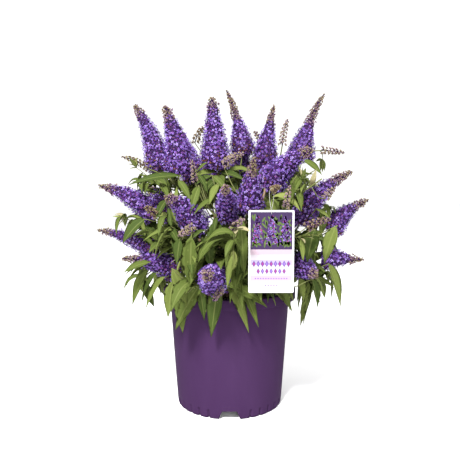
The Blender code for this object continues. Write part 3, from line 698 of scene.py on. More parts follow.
def off_the_pot(points):
    """True for points outside the pot's wall and lip, or above the mix inside it."""
    reach = np.hypot(points[..., 0], points[..., 1])
    height = points[..., 2]
    wall = LIP_RADIUS - (LIP_RADIUS - POT_BASE_RADIUS) * np.clip(
        (POT_HEIGHT - LIP_DROP - height) / POT_HEIGHT, 0, 1
    )
    outside = reach > wall + POT_MARGIN
    above = height > POT_HEIGHT + POT_MARGIN
    inside = (reach < POT_MOUTH_RADIUS - MOUTH_MARGIN) & (height > MIX_HEIGHT + MIX_MARGIN)
    return outside | above | inside


def off_the_tag(points):
    """True for points that are neither in the tag or its loop nor in front of them."""
    x, y, z = points[..., 0], points[..., 1], points[..., 2]
    beside = np.abs(x - TAG_CENTRE.x) > TAG_WIDTH / 2 + TAG_CLEARANCE / 2
    bottom = TAG_CENTRE.z - TAG_HEIGHT / 2 - TAG_CLEARANCE / 2
    top = TAG_CENTRE.z + TAG_HEIGHT / 2 + TAG_CLEARANCE / 2
    behind = y > TAG_CENTRE.y + TAG_CLEARANCE
    off_card = beside | behind | (z < bottom) | (z > top)
    loop_side = np.hypot(x - TAG_CENTRE.x, y - TAG_CENTRE.y) > TAG_CLEARANCE
    off_loop = loop_side | (z < top - TAG_CLEARANCE) | (z > top + TAG_LOOP_RISE)
    return off_card & off_loop


def clear(name, points, limb_room):
    """Whether all of these points are in the mass's space and off everything else."""
    if spaces_left(name, points).min() < SPACE_MARGIN:
        return False
    if not (off_the_pot(points) & off_the_tag(points)).all():
        return False
    return nearest(points, LIMB_POINTS).min() > limb_room


def head_axis(head):
    """The direction that a flower head points in, from its base to its tip."""
    level = outward(head.azimuth + head.swing)
    rise = math.radians(head.rise)
    return level * math.cos(rise) + UP * math.sin(rise)


def head_ends(head):
    tip = place(head.azimuth, head.height, head.reach)
    return tip - head_axis(head) * head.length, tip


def head_spots(head, shares):
    """Points of the head's axis at these shares of its length, bowed a little up."""
    base, tip = (np.array(end) for end in head_ends(head))
    axis = head_axis(head)
    above = np.array((UP - axis * axis.z).normalized())
    bow = HEAD_BOW * abs(math.sin(math.radians(2 * head.rise)))
    shares = np.asarray(shares, float)[..., None]
    return base + (tip - base) * shares + above * bow * head.length * 4 * shares * (1 - shares)


def young_head(spike):
    """The young spike as a head that is all in bud."""
    start, tip = Vector(spike.start), Vector(spike.tip)
    axis = tip - start
    azimuth = math.degrees(math.atan2(tip.x, -tip.y))
    level = math.degrees(math.atan2(axis.x, -axis.y))
    rise = math.degrees(math.asin(axis.normalized().z))
    reach = math.hypot(tip.x, tip.y)
    return Head(azimuth, tip.z, reach, rise, level - azimuth, axis.length, spike.width, 0.0)


def head_radii(head, shares):
    """The head's radius at these shares of its length: a spindle, then a thin tail
    of closed buds."""
    half = head.width / 2
    shares = np.asarray(shares, float)
    if head.bloom == 0:
        return half * YOUNG_FULLNESS * (1 - shares) ** 0.6
    opened = np.clip(shares / head.bloom, 0, 1)
    spindle = half * np.minimum(HEAD_FULLEST, HEAD_FOOT + HEAD_SWELL * opened)
    spindle = spindle * (1 - HEAD_TAPER * opened**HEAD_TAPER_POWER)
    tail = np.clip((shares - head.bloom) / (1 - head.bloom), 0, 1)
    tail = half * (TAIL_TIP + TAIL_TAPER * (1 - tail) ** 0.85)
    return np.where(shares <= head.bloom, spindle, tail)


def shoot_route(start, leaving, end, arriving):
    reach = (end - start).length * SHOOT_EASE
    return route([start, start + leaving * reach, end - arriving * reach, end], SHOOT_STEPS)


def head_shoots(name):
    """The mass's stem, forked into one shoot for each flower head."""
    heads = MASSES[name].heads
    bough = bough_route(name)
    leaving = way_between(bough[-2], bough[-1])
    start = bough[-1] + leaving * GAP
    bases = [head_ends(head)[0] for head in heads if head.bloom]
    middle = sum(bases, Vector()) / len(bases)
    onward = way_between(start, middle)
    fork = start.lerp(middle, FORK_SHARE)
    stem = [start]
    stem += shoot_route(start + leaving * STRAIGHT_START, leaving, fork, onward)
    shoots = []
    for index, head in enumerate(heads):
        axis = head_axis(head)
        end = head_ends(head)[0] + axis * head.length * HEAD_SINK
        points = shoot_route(fork - onward * FORK_STEP * index, onward, end, axis)
        shoots.append(stem + points[1:] if index == 0 else points)
    return shoots


def skirt_route(name, start, leaving, turn):
    """A low twig that reaches out past the rim, for leaves that hang over the pot."""
    end = place(MASSES[name].azimuth + turn, SKIRT_HEIGHT, SKIRT_REACH)
    way = (outward(MASSES[name].azimuth + turn) - UP * SKIRT_FALL).normalized()
    points = shoot_route(start, leaving, end, way)
    return points if clear(name, sampled(points[1:]), TWIG_LIMB_MARGIN) else None


def twig_route(name, chance, start, leaving, size):
    """A side twig that turns outward and sags, if one clear of everything is found."""
    middle = MASSES[name]
    for attempt in range(TWIG_TRIES):
        azimuth = middle.azimuth + chance.uniform(-TWIG_TURN, TWIG_TURN)
        rise = math.radians(chance.uniform(*TWIG_RISES))
        way = outward(azimuth) * math.cos(rise) + UP * math.sin(rise)
        length = size * chance.uniform(0.7, 1.25) * (1 - attempt / TWIG_TRIES / 2)
        end = start + way * length
        points = shoot_route(start, leaving.lerp(way, 0.7).normalized(), end, way)
        if clear(name, sampled(points[1:]), TWIG_LIMB_MARGIN):
            return points
    return None


def side_twigs(name, chance, shoots):
    """The skirt twigs of a side mass, and then the side twigs of any mass."""
    stem = shoots[0]
    if name in SIDE_MASSES:
        for turn in SKIRT_TURNS:
            yield skirt_route(name, stem[2], way_between(stem[2], stem[3]), turn)
    for _ in range(TWIGS_PER_TOP_MASS if name in TOP_MASSES else TWIGS_PER_SIDE_MASS):
        parent = chance.choice(shoots)
        step = chance.randrange(1, len(parent) - 2)
        leaving = way_between(parent[step], parent[step + 1])
        joint = parent[step] + leaving * FORK_STEP * chance.uniform(0.5, 3)
        yield twig_route(name, chance, joint, leaving, TWIG_LENGTH)


def sprigs(name, chance, limbs):
    """The finer twigs, which leave the shoots and the side twigs anywhere."""
    for _ in range(SPRIGS_PER_MASS):
        parent = chance.choice(limbs)
        step = chance.randrange(0, len(parent) - 1)
        joint = parent[step].lerp(parent[step + 1], chance.uniform(0.2, 0.9))
        leaving = way_between(parent[step], parent[step + 1])
        yield twig_route(name, chance, joint, leaving, SPRIG_LENGTH)


# Meshes made from arrays


def add_object(name, data):
    made = bpy.data.objects.new(name, data)
    bpy.context.scene.collection.objects.link(made)
    return made


class Heap:
    """Points and faces gathered for joined meshes, with a finish for each face."""

    def __init__(self):
        self.points = []
        self.faces = []
        self.finishes = []
        self.count = 0

    def add(self, points, faces, finish):
        """Copies of one form: its points for each copy, its faces, their finish.
        Returns where each copy's points start."""
        copies, size = points.shape[:2]
        starts = self.count + size * np.arange(copies)
        self.points.append(points.reshape(-1, 3))
        self.count += copies * size
        self.add_faces(starts, faces, finish)
        return starts

    def add_faces(self, starts, faces, finish):
        """The faces of one form again for each of the starts in the points."""
        self.faces.append((faces[None] + starts[:, None, None]).reshape(-1, faces.shape[1]))
        self.finishes.append(np.broadcast_to(finish, (len(starts), len(faces))).reshape(-1))

    def piece(self, name, materials, smooth=True):
        mesh = bpy.data.meshes.new(name)
        points = np.concatenate(self.points)
        corners = np.concatenate([faces.ravel() for faces in self.faces])
        sizes = np.concatenate([np.full(len(faces), faces.shape[1]) for faces in self.faces])
        starts = np.concatenate([[0], np.cumsum(sizes)[:-1]])
        mesh.vertices.add(len(points))
        mesh.vertices.foreach_set("co", points.astype(np.float32).ravel())
        mesh.loops.add(len(corners))
        mesh.loops.foreach_set("vertex_index", corners.astype(np.int32))
        mesh.polygons.add(len(sizes))
        mesh.polygons.foreach_set("loop_start", starts.astype(np.int32))
        finishes = np.concatenate(self.finishes).astype(np.int32)
        mesh.polygons.foreach_set("material_index", finishes)
        mesh.polygons.foreach_set("use_smooth", np.full(len(sizes), smooth))
        for material in materials:
            mesh.materials.append(material)
        mesh.update(calc_edges=True)
        mesh.validate()
        return add_object(name, mesh)


def grid_faces(rows, columns):
    """Quads between neighbouring rings of points, joined all the way round."""
    here = np.arange((rows - 1) * columns)
    beside = here - here % columns + (here + 1) % columns
    return np.stack([here, beside, beside + columns, here + columns], axis=-1)


def add_rings(heap, rings, finish):
    """A closed skin over rings of points, with a cap on its first and last ring."""
    rows, columns = rings.shape[:2]
    starts = heap.add(rings.reshape(1, -1, 3), grid_faces(rows, columns), finish)
    ring = np.arange(columns)
    heap.add_faces(starts, np.array([ring[::-1], (rows - 1) * columns + ring]), finish)


def frames_along(line):
    """Two directions across the line at each of its points, that turn with it."""
    ways = unit(np.gradient(line, axis=0))
    start = np.cross(ways[0], [0.0, 0.0, 1.0])
    if np.linalg.norm(start) < 0.1:
        start = np.cross(ways[0], [1.0, 0.0, 0.0])
    across = [unit(start)]
    for way in ways[1:]:
        across.append(unit(across[-1] - way * np.dot(across[-1], way)))
    across = np.array(across)
    return ways, across, np.cross(ways, across)


def tube_points(line, radii, sides):
    """Rings of points round the line. The radii are for each point, or for each
    point and side."""
    _, across, above = frames_along(line)
    radii = np.asarray(radii, float)
    radii = radii[:, None] if radii.ndim == 1 else radii
    spread = swung(across[:, None], above[:, None], turns_round(sides))
    return line[:, None] + spread * radii[..., None]


def add_tube(heap, line, radii, sides, finish):
    """A closed tube along the line."""
    add_rings(heap, tube_points(line, radii, sides), finish)


# Materials


def in_studio(colour):
    """The base colour that shows as this colour under the studio's strong light."""
    return (*(part * STUDIO_SHARE for part in colour), 1.0)


def new_material(name, colour, roughness, specular=0.5):
    made = bpy.data.materials.new(name)
    made.use_nodes = True
    shader = made.node_tree.nodes["Principled BSDF"]
    shader.inputs["Base Color"].default_value = in_studio(colour)
    shader.inputs["Roughness"].default_value = roughness
    shader.inputs["Specular IOR Level"].default_value = specular
    return made


def add_node(material, kind, **settings):
    made = material.node_tree.nodes.new(kind)
    for name, value in settings.items():
        if name in made.inputs:
            made.inputs[name].default_value = value
        else:
            setattr(made, name, value)
    return made


def join_nodes(material, output, target):
    material.node_tree.links.new(output, target)


def noise(material, scale, detail=3.0, stretch=(1, 1, 1)):
    """A noise pattern in the object's own space."""
    spots = add_node(material, "ShaderNodeTexCoord")
    spread = add_node(material, "ShaderNodeMapping")
    spread.inputs["Scale"].default_value = stretch
    made = add_node(material, "ShaderNodeTexNoise", Scale=scale, Detail=detail)
    join_nodes(material, spots.outputs["Object"], spread.inputs["Vector"])
    join_nodes(material, spread.outputs["Vector"], made.inputs["Vector"])
    return made.outputs["Fac"]


def bump(material, pattern, strength, distance):
    shader = material.node_tree.nodes["Principled BSDF"]
    made = add_node(material, "ShaderNodeBump", Strength=strength, Distance=distance)
    join_nodes(material, pattern, made.inputs["Height"])
    join_nodes(material, made.outputs["Normal"], shader.inputs["Normal"])


def ramp(material, pattern, stops, socket):
    """Colours the socket by the pattern, with (place, colour) stops."""
    shader = material.node_tree.nodes["Principled BSDF"]
    made = add_node(material, "ShaderNodeValToRGB")
    while len(made.color_ramp.elements) < len(stops):
        made.color_ramp.elements.new(0.5)
    for element, (spot, colour) in zip(made.color_ramp.elements, stops):
        element.position = spot
        element.color = in_studio(colour)
    join_nodes(material, pattern, made.inputs["Fac"])
    join_nodes(material, made.outputs["Color"], shader.inputs[socket])


def leaf_material(name, colour):
    made = new_material(name, colour, *SHEENS["leaf"])
    bump(made, noise(made, 700.0, 2.0), 0.25, 0.0006)
    return made


def petal_material(name, colour):
    return new_material(name, colour, *SHEENS["petal"])


def petal_materials(name, colours):
    return [petal_material(f"{name} {index + 1}", colour) for index, colour in enumerate(colours)]


def bark_material():
    made = new_material("bark", BARK_COLOUR, *SHEENS["bark"])
    strands = noise(made, 90.0, 6.0, (1, 1, 0.16))
    ramp(made, strands, BARK_STOPS, "Base Color")
    bump(made, strands, 0.8, 0.0015)
    return made


def pot_material():
    made = new_material("moulded plastic", POT_COLOUR, *SHEENS["pot"])
    mottle = noise(made, 26.0, 5.0, (1, 1, 0.22))
    ramp(made, mottle, POT_STOPS, "Base Color")
    bump(made, noise(made, 900.0, 2.0), 0.12, 0.0004)
    return made


def mix_material():
    made = new_material("peat and bark", MIX_COLOUR, *SHEENS["mix"])
    crumbs = noise(made, 160.0, 8.0)
    ramp(made, crumbs, MIX_STOPS, "Base Color")
    bump(made, crumbs, 1.0, 0.003)
    return made


def card_material(name, colour):
    made = new_material(name, colour, *SHEENS["card"])
    bump(made, noise(made, 1500.0, 2.0), 0.06, 0.0002)
    return made


# Flower heads


def floret_form():
    """A flat flower with four pointed-oval lobes on a short tube, and an eye. The
    points are in floret radii, facing +Z."""
    points = []
    faces = []
    finishes = []
    for lobe in range(4):
        start = len(points)
        for reach, swing, lift in FLORET_LOBE:
            turn = math.pi / 2 * lobe + swing
            points.append((reach * math.cos(turn), reach * math.sin(turn), lift))
        faces += [(start, start + 1, start + 2), (start, start + 2, start + 3)]
        finishes += [0, 0]
    start = len(points)
    for corner in range(3):
        turn = 2 * math.pi / 3 * corner
        points.append((EYE_RADIUS * math.cos(turn), EYE_RADIUS * math.sin(turn), EYE_LIFT))
    points.append((0, 0, -TUBE_LENGTH))
    for corner in range(3):
        faces.append((start + corner, start + 3, start + (corner + 1) % 3))
        finishes.append(0)
    faces.append((start, start + 1, start + 2))
    finishes.append(1)
    return np.array(points, float), np.array(faces), np.array(finishes)


def bud_form():
    """A closed bud: a drop with four sides, from its stalk at the origin to +Z."""
    points = [(0, 0, 0)]
    for corner in range(4):
        turn = math.pi / 2 * corner
        points.append((BUD_GIRTH * math.cos(turn), BUD_GIRTH * math.sin(turn), BUD_BELLY))
    points.append((0, 0, 1))
    faces = []
    for corner in range(4):
        here, beside = 1 + corner, 1 + (corner + 1) % 4
        faces += [(0, beside, here), (here, beside, 5)]
    return np.array(points, float), np.array(faces)


def stand(form, spots, ways, spins, sizes):
    """Copies of the form at the spots, each with its +Z along its own way."""
    side = np.cross(ways, [0.0, 0.0, 1.0])
    flat = np.linalg.norm(side, axis=1) < 0.05
    side[flat] = np.cross(ways[flat], [1.0, 0.0, 0.0])
    side = unit(side)
    other = np.cross(ways, side)
    across = swung(side, other, spins)
    above = np.cross(ways, across)
    sizes = np.asarray(sizes, float)
    sizes = sizes[:, None] * np.ones(3) if sizes.ndim == 1 else sizes
    scaled = form[None] * sizes[:, None]
    return (
        spots[:, None]
        + scaled[..., 0:1] * across[:, None]
        + scaled[..., 1:2] * above[:, None]
        + scaled[..., 2:3] * ways[:, None]
    )


def round_head(head, shares, turns):
    """Spots on the head's axis, its direction there, and the way out at each turn."""
    spots = head_spots(head, shares)
    ways = unit(head_spots(head, shares + 0.01) - head_spots(head, shares - 0.01))
    level = np.array(outward(head.azimuth + 90)) + np.array([0.0, 0.0, 0.3])
    across = unit(np.cross(ways, level))
    above = np.cross(ways, across)
    return spots, ways, swung(across, above, turns)


def ring_spots(head, chance, first, last, level, spacing, jitter):
    """Spots in staggered rings round the head: share, turn and radius of each."""
    found = []
    share = first
    while share < last:
        radius = float(head_radii(head, share))
        around = max(3, round(2 * math.pi * radius / spacing))
        offset = chance.uniform(0, 2 * math.pi)
        for index in range(around):
            turn = offset + 2 * math.pi * (index + chance.uniform(-jitter, jitter)) / around
            spot = share + chance.uniform(-jitter, jitter) * level / head.length
            found.append((spot, turn, radius))
        share += level / head.length * (0.75 + 0.25 * min(1, radius / WIDE_RADIUS))
    return np.array(found)


def knob_lift(head, share, turn, radius):
    """From 0 in the clefts between the knobs of florets to 1 on the knobs, which
    stand in staggered rings."""
    reach = share * head.length / KNOB_SPACING
    around = np.maximum(3, np.round(2 * math.pi * radius / KNOB_SPACING))
    level = 0.5 - 0.5 * np.cos(2 * math.pi * reach)
    beside = 0.5 + 0.5 * np.cos(around * turn + math.pi * np.floor(reach))
    return 0.45 * level + 0.55 * beside


def add_floret_layer(head, chance, numbers, heap, spacing, inset, deal):
    """Florets over the head at this spacing, sunk in by the inset, with their
    colours dealt out by these shares. Most of those in the clefts take the
    near-black colour as painted shade."""
    level = spacing * FLORET_LEVEL
    share, turn, radius = ring_spots(head, chance, 0.02, head.bloom, level, spacing, 0.40).T
    share = np.clip(share, 0.0, head.bloom)
    lift = knob_lift(head, share, turn, radius)
    count = len(share)
    spots, ways, radial = round_head(head, share, turn)
    stray = np.where(numbers.random(count) < STRAY_SHARE, STRAY_REACH, 0.0)
    relief = KNOB_RELIEF * (lift - 0.5) * np.clip(radius / WIDE_RADIUS, 0.3, 1.0)
    reach = radius * FLORET_REACH - inset + relief
    reach += numbers.normal(0, FLORET_SCATTER, count) + stray
    lean = np.interp(share, [0.0, 0.12, 0.5, head.bloom], FLORET_LEANS)[:, None]
    tilts = unit(radial + ways * lean + FLORET_TILT * numbers.normal(size=(count, 3)))
    size = FLORET_RADIUS * numbers.uniform(*FLORET_SIZES, count)
    size *= np.interp(share, [0, head.bloom * 0.75, head.bloom], [1, 1, LAST_FLORET])
    starts = spots + radial * np.maximum(reach, 0.0005)[:, None]
    points = stand(FLORET[0], starts, tilts, numbers.uniform(0, 7, count), size)
    tone = numbers.choice(len(FLORET_COLOURS), count, p=deal)
    # Painted shade: most florets in the clefts take the near-black colour
    shaded_cleft = (lift < CLEFT_LIFT) & (numbers.random(count) < CLEFT_SHADE_SHARE)
    tone = np.where(shaded_cleft, CLEFT_SHADE_TONE, tone)
    faded = numbers.random(count) < np.interp(share, *FADED_SHARES)
    tone = np.where(faded, len(FLORET_COLOURS), tone)
    eye = len(FLORET_COLOURS) + 1 + (numbers.random(count) < SECOND_EYE_SHARE)
    heap.add(points, FLORET[1], np.where(FLORET[2][None] == 0, tone[:, None], eye[:, None]))


def add_florets(head, chance, numbers, heap):
    add_floret_layer(head, chance, numbers, heap, FLORET_SPACING, 0.0, FLORET_DEAL)
    inner = FLORET_SPACING * INNER_SPACING
    # The sunk inner layer is half near black, as painted shade
    add_floret_layer(head, chance, numbers, heap, inner, INNER_INSET, INNER_DEAL_WITH_SHADE)


def bud_cluster(centres, facing, counts, radii, numbers):
    """Buds in tight clusters: for each cluster its middle, facing, count and radius."""
    index = np.repeat(np.arange(len(centres)), counts)
    spread = unit(numbers.normal(size=(len(index), 3)))
    ways = unit(facing[index] + BUD_SPREAD * spread)
    width = BUD_WIDTH * numbers.uniform(0.8, 1.2, len(index))
    length = np.minimum(BUD_LENGTH, radii[index]) * numbers.uniform(0.8, 1.25, len(index))
    sizes = np.stack([2 * width, 2 * width, length], axis=1)
    inset = numbers.uniform(0.0, 0.3, (len(index), 1))
    starts = centres[index] + ways * radii[index, None] * inset
    return stand(BUD[0], starts, ways, spread[:, 0] * 3, sizes)


def add_buds(head, chance, numbers, heap):
    """Clusters of closed buds over the tail of the head and among its last florets."""
    first = head.bloom * BUDS_FROM
    share, turn, radius = ring_spots(head, chance, first, 0.99, BUD_LEVEL, BUD_SPACING, 0.35).T
    share = np.minimum(share, 0.995)
    spots, ways, radial = round_head(head, share, turn)
    facing = unit(radial + ways * numbers.uniform(0.4, 1.0, (len(share), 1)))
    reach = radius * numbers.uniform(0.70, 1.25, len(share)) - 0.6 * BUD_LENGTH
    reach = np.maximum(reach, 0.0003)
    counts = np.where(radius > THIN_RADIUS, *CLUSTER_COUNTS)
    size = np.clip(radius * 0.8, *CLUSTER_RADII)
    points = bud_cluster(spots + radial * reach[:, None], facing, counts, size, numbers)
    share = np.repeat(share, counts)
    near_tip = np.interp(share, [head.bloom, 1], TIP_TONE_SHARES)
    tone = np.where(numbers.random(len(share)) < near_tip, 2, 0)
    darker = np.where(tone == 2, 3, 1)
    tone = np.where(numbers.random(len(share)) < DARK_BUD_SHARE, darker, tone)
    heap.add(points, BUD[1], tone[:, None])


def add_bud_spike(head, numbers, heap, tones):
    """A young spike: bud clusters in crossed pairs along a thin stem."""
    shares = np.repeat(np.arange(0.04, 1, BUD_PAIR_STEP / head.length), 2)
    index = np.arange(len(shares))
    turn = math.pi * (index % 2) + math.pi / 2 * (index // 2)
    turn = turn + numbers.uniform(-0.3, 0.3, len(shares))
    radius = head_radii(head, shares) + YOUNG_STEM_MARGIN
    spots, ways, radial = round_head(head, shares, turn)
    facing = unit(radial + ways * 0.6)
    counts = np.where(radius > THIN_RADIUS, *YOUNG_CLUSTER_COUNTS)
    centres = spots + radial * radius[:, None] * YOUNG_CLUSTER_REACH
    points = bud_cluster(centres, facing, counts, radius * YOUNG_CLUSTER_RADIUS, numbers)
    heap.add(points, BUD[1], numbers.choice(tones, (len(points), 1)))


def add_core(head, numbers, heap):
    """What shows between the florets: a lumpy spindle of calyxes and stalks, near
    black with painted shade.
    """
    shares = np.linspace(0.02, 0.985, CORE_RINGS)
    lumps = numbers.uniform(*CORE_LUMPS, (CORE_RINGS, CORE_SIDES))
    fill = np.where(shares < head.bloom, CORE_SHARE, CORE_TAIL_SHARE)
    radii = (head_radii(head, shares) * fill)[:, None] * lumps
    if head.bloom == 0:
        radii = np.full((CORE_RINGS, CORE_SIDES), YOUNG_STEM_RADIUS)
    add_tube(heap, head_spots(head, shares), radii, CORE_SIDES, 0)


def part_of(name):
    """The part of the plant that a mass's leaves and florets are joined with."""
    if name in TOP_MASSES:
        return "top"
    if "back" in name:
        return "back"
    return "front" if "front" in name else "side"


def build_heads():
    florets = {part_of(name): Heap() for name in MASSES}
    buds = Heap()
    cores = Heap()
    spikes = 0
    for name, mass in MASSES.items():
        for index, head in enumerate(mass.heads):
            chance = random.Random(f"{SEED} {name} head {index}")
            numbers = np.random.default_rng(chance.randrange(10**6))
            add_core(head, numbers, cores)
            if head.bloom:
                add_florets(head, chance, numbers, florets[part_of(name)])
                add_buds(head, chance, numbers, buds)
            else:
                add_bud_spike(head, numbers, buds, SPIKE_TONES[spikes % len(SPIKE_TONES)])
                spikes += 1
    for index, spike in enumerate(both_sides(YOUNG_SPIKES)):
        numbers = np.random.default_rng(SEED + 100 + index)
        head = young_head(spike)
        add_core(head, numbers, cores)
        add_bud_spike(head, numbers, buds, SPIKE_TONES[index % len(SPIKE_TONES)])
    return florets, buds, cores


FLORET = floret_form()
BUD = bud_form()


# Leaves


LEAF_SHARES = np.linspace(0, 1, LEAF_ROWS + 1)


def leaf_lines(roots, alongs, lengths, droops):
    """The middle line of each leaf, which leaves its root along its own way and
    bends down, and its direction at each row."""
    def ways_at(shares):
        pull = 2 * droops[:, None, None] * shares[None, :, None]
        return unit(alongs[:, None] + DOWN * pull)

    middles = (LEAF_SHARES[1:] + LEAF_SHARES[:-1]) / 2
    steps = ways_at(middles) * (lengths / LEAF_ROWS)[:, None, None]
    lines = np.concatenate([roots[:, None], roots[:, None] + np.cumsum(steps, axis=1)], axis=1)
    return lines, ways_at(LEAF_SHARES)


def leaf_outline():
    """Half the leaf's width at each row, as a share of its widest half."""
    lance = np.sin(math.pi * LEAF_SHARES**0.74) ** 1.05
    return np.maximum(lance, 0.04)


def outward_faces(roots):
    """The level direction that each leaf's blade faces: away from the plant's middle,
    with a stray turn of its own."""
    away = unit(roots * [1.0, 1.0, 0.0] + [0.0, -1e-6, 0.0])
    stray = 0.8 * np.sin(roots @ [731.0, 417.0, 959.0])[:, None]
    return unit(away + stray * np.cross(away, [0.0, 0.0, 1.0]))


def blade_across(faces, ways):
    """A direction across each leaf at each of its rows, turned so that the blade
    faces up and the level way that it is given."""
    middle = ways[:, ways.shape[1] // 2]
    facing = faces * BLADE_OUTWARD + [0.0, 0.0, 1.0]
    across = np.cross(middle, facing) + 0.35 * np.cross(middle, [0.0, 0.0, 1.0])
    across = unit(across + [1e-6, 0.0, 0.0])[:, None]
    return unit(across - ways * (across * ways).sum(-1, keepdims=True))


def leaf_sheets(roots, alongs, lengths, widths, droops, rolls, faces, numbers):
    """Points of each leaf: the rows of its upper sheet, then of its lower one."""
    lines, ways = leaf_lines(roots, alongs, lengths, droops)
    level = blade_across(faces, ways)
    above = np.cross(level, ways)
    twist = numbers.uniform(-LEAF_TWIST, LEAF_TWIST, (len(roots), 1)) * LEAF_SHARES
    across = swung(level, above, rolls[:, None] + twist)
    normal = np.cross(across, ways)
    half = (widths / 2)[:, None] * leaf_outline()
    sides = np.array(LEAF_SIDES)
    fold = numbers.uniform(*LEAF_FOLDS, (len(roots), 1, 1)) * np.abs(sides) * half[..., None]
    rows = np.arange(LEAF_ROWS + 1)
    between = (np.abs(sides) == LEAF_SIDES[-2]) * 1.0
    veins = between * np.where(rows % 2, 1, -1)[:, None]
    fold = fold + veins * VEIN_RELIEF * half[..., None]
    phase = numbers.uniform(0, 6, (len(roots), 1, 1))
    ripple = np.sin(LEAF_SHARES[None, :, None] * 13 + phase + 2.0 * (sides > 0))
    fold = fold + ripple * (np.abs(sides) == 1) * EDGE_RIPPLE * half[..., None]
    upper = (
        lines[:, :, None]
        + across[:, :, None] * (half[..., None] * sides)[..., None]
        + normal[:, :, None] * fold[..., None]
    )
    lower = upper[:, :, 1:-1] - normal[:, :, None] * LEAF_THICKNESS
    count = len(roots)
    return np.concatenate([upper.reshape(count, -1, 3), lower.reshape(count, -1, 3)], axis=1)


def leaf_faces():
    """Faces of the closed leaf, with 0 for its blade and 1 for its rib above, 2 and 3
    for them below, and the faces that close its two ends."""
    columns = len(LEAF_SIDES)
    rows = LEAF_ROWS + 1
    upper = np.arange(rows * columns).reshape(rows, columns)
    inner = rows * columns + np.arange(rows * (columns - 2)).reshape(rows, columns - 2)
    lower = np.concatenate([upper[:, :1], inner, upper[:, -1:]], axis=1)
    faces = []
    finishes = []
    sheets = ((upper, True, (0, 0, 1, 0, 0)), (lower, False, (2, 2, 3, 2, 2)))
    for sheet, flipped, shade in sheets:
        for row in range(rows - 1):
            for column in range(columns - 1):
                quad = [
                    sheet[row, column], sheet[row + 1, column],
                    sheet[row + 1, column + 1], sheet[row, column + 1],
                ]
                faces.append(quad[::-1] if flipped else quad)
                finishes.append(shade[column])
    caps = [
        list(inner[0]) + list(upper[0][::-1]),
        list(inner[-1][::-1]) + list(upper[-1]),
    ]
    return np.array(faces), np.array(finishes), np.array(caps)


LEAF_FACES, LEAF_PARTS, LEAF_CAPS = leaf_faces()
FINISHES_PER_TONE = 2
UNDER_FINISH = len(LEAF_TONES) * FINISHES_PER_TONE


def add_leaves(heap, leaves, numbers, facing=None):
    """Leaves is a list of (root, along, length, width, droop, roll, tone). Their
    blades face outward, or the level way that is given."""
    roots, alongs, lengths, widths, droops, rolls, tones = map(np.array, zip(*leaves))
    faces = outward_faces(roots) if facing is None else np.array([facing] * len(roots))
    points = leaf_sheets(roots, alongs, lengths, widths, droops, rolls, faces, numbers)
    blade = tones[:, None] * FINISHES_PER_TONE
    finish = np.where(LEAF_PARTS[None] < 2, blade + LEAF_PARTS, UNDER_FINISH + LEAF_PARTS - 2)
    starts = heap.add(points, LEAF_FACES, finish)
    heap.add_faces(starts, LEAF_CAPS, blade)


def leaf_materials():
    made = []
    for tone, colour in LEAF_TONES.items():
        made.append(leaf_material(f"leaf {tone}", colour))
        rib = tuple((1 - RIB_SHARE) * a + RIB_SHARE * b for a, b in zip(colour, RIB_COLOUR))
        made.append(leaf_material(f"rib {tone}", rib))
    made.append(leaf_material("leaf underside", UNDER_COLOUR))
    made.append(leaf_material("rib underside", RIB_COLOUR))
    return made


def head_balls():
    """Balls that fill the flower heads, for keeping leaves out of them."""
    spots = []
    radii = []
    for mass in MASSES.values():
        for head in mass.heads:
            shares = np.linspace(0.04, 1, 9)
            spots.append(head_spots(head, shares))
            radii.append(head_radii(head, shares) + HEAD_ROOM)
    return np.concatenate(spots), np.concatenate(radii)


HEAD_SPOTS, HEAD_RADII = head_balls()
HEAD_WAYS = unit(HEAD_SPOTS * [1.0, 1.0, 0.0] + [0.0, 0.0, 0.06])


def leaf_tests(lines, ways, widths):
    """Points on the blades of leaves, for the clearances."""
    rows = slice(2, None)
    across = blade_across(outward_faces(lines[:, 0]), ways)[:, rows]
    half = (widths / 2)[:, None] * leaf_outline()[rows]
    middle = lines[:, rows]
    edge = across * half[..., None]
    return np.concatenate([middle, middle + edge, middle - edge], axis=1)


def hides_a_head(tests):
    """For each leaf, whether it stands before a flower head, seen from outside the
    plant or from the front."""
    offset = tests[:, :, None] - HEAD_SPOTS
    hides = np.zeros(len(tests), bool)
    for way in (HEAD_WAYS, FRONT):
        along = (offset * way).sum(-1)
        aside = np.linalg.norm(offset - along[..., None] * way, axis=-1)
        before = (along > 0) & (along < HEAD_VIEW) & (aside < HEAD_RADII * HEAD_VIEW_SHARE)
        hides |= before.any(axis=(1, 2))
    return hides


def seen_clear(points):
    """Whether there is a twig, and it doesn't cross in front of a flower head."""
    return bool(points) and not hides_a_head(sampled(points)[None])[0]


def leaf_fits(name, tests):
    """For each leaf, whether all its test points are where a leaf may be."""
    fits = in_the_dome(tests).all(1) & off_the_pot(tests).all(1) & off_the_tag(tests).all(1)
    fits &= spaces_left(name, tests).min(1) > LEAF_SPACE_MARGIN
    if fits.any():
        apart = np.linalg.norm(tests[fits][:, :, None] - HEAD_SPOTS, axis=-1) - HEAD_RADII
        fits[fits] = apart.min(axis=(1, 2)) > 0
    if fits.any():
        fits[fits] = ~hides_a_head(tests[fits])
    return fits


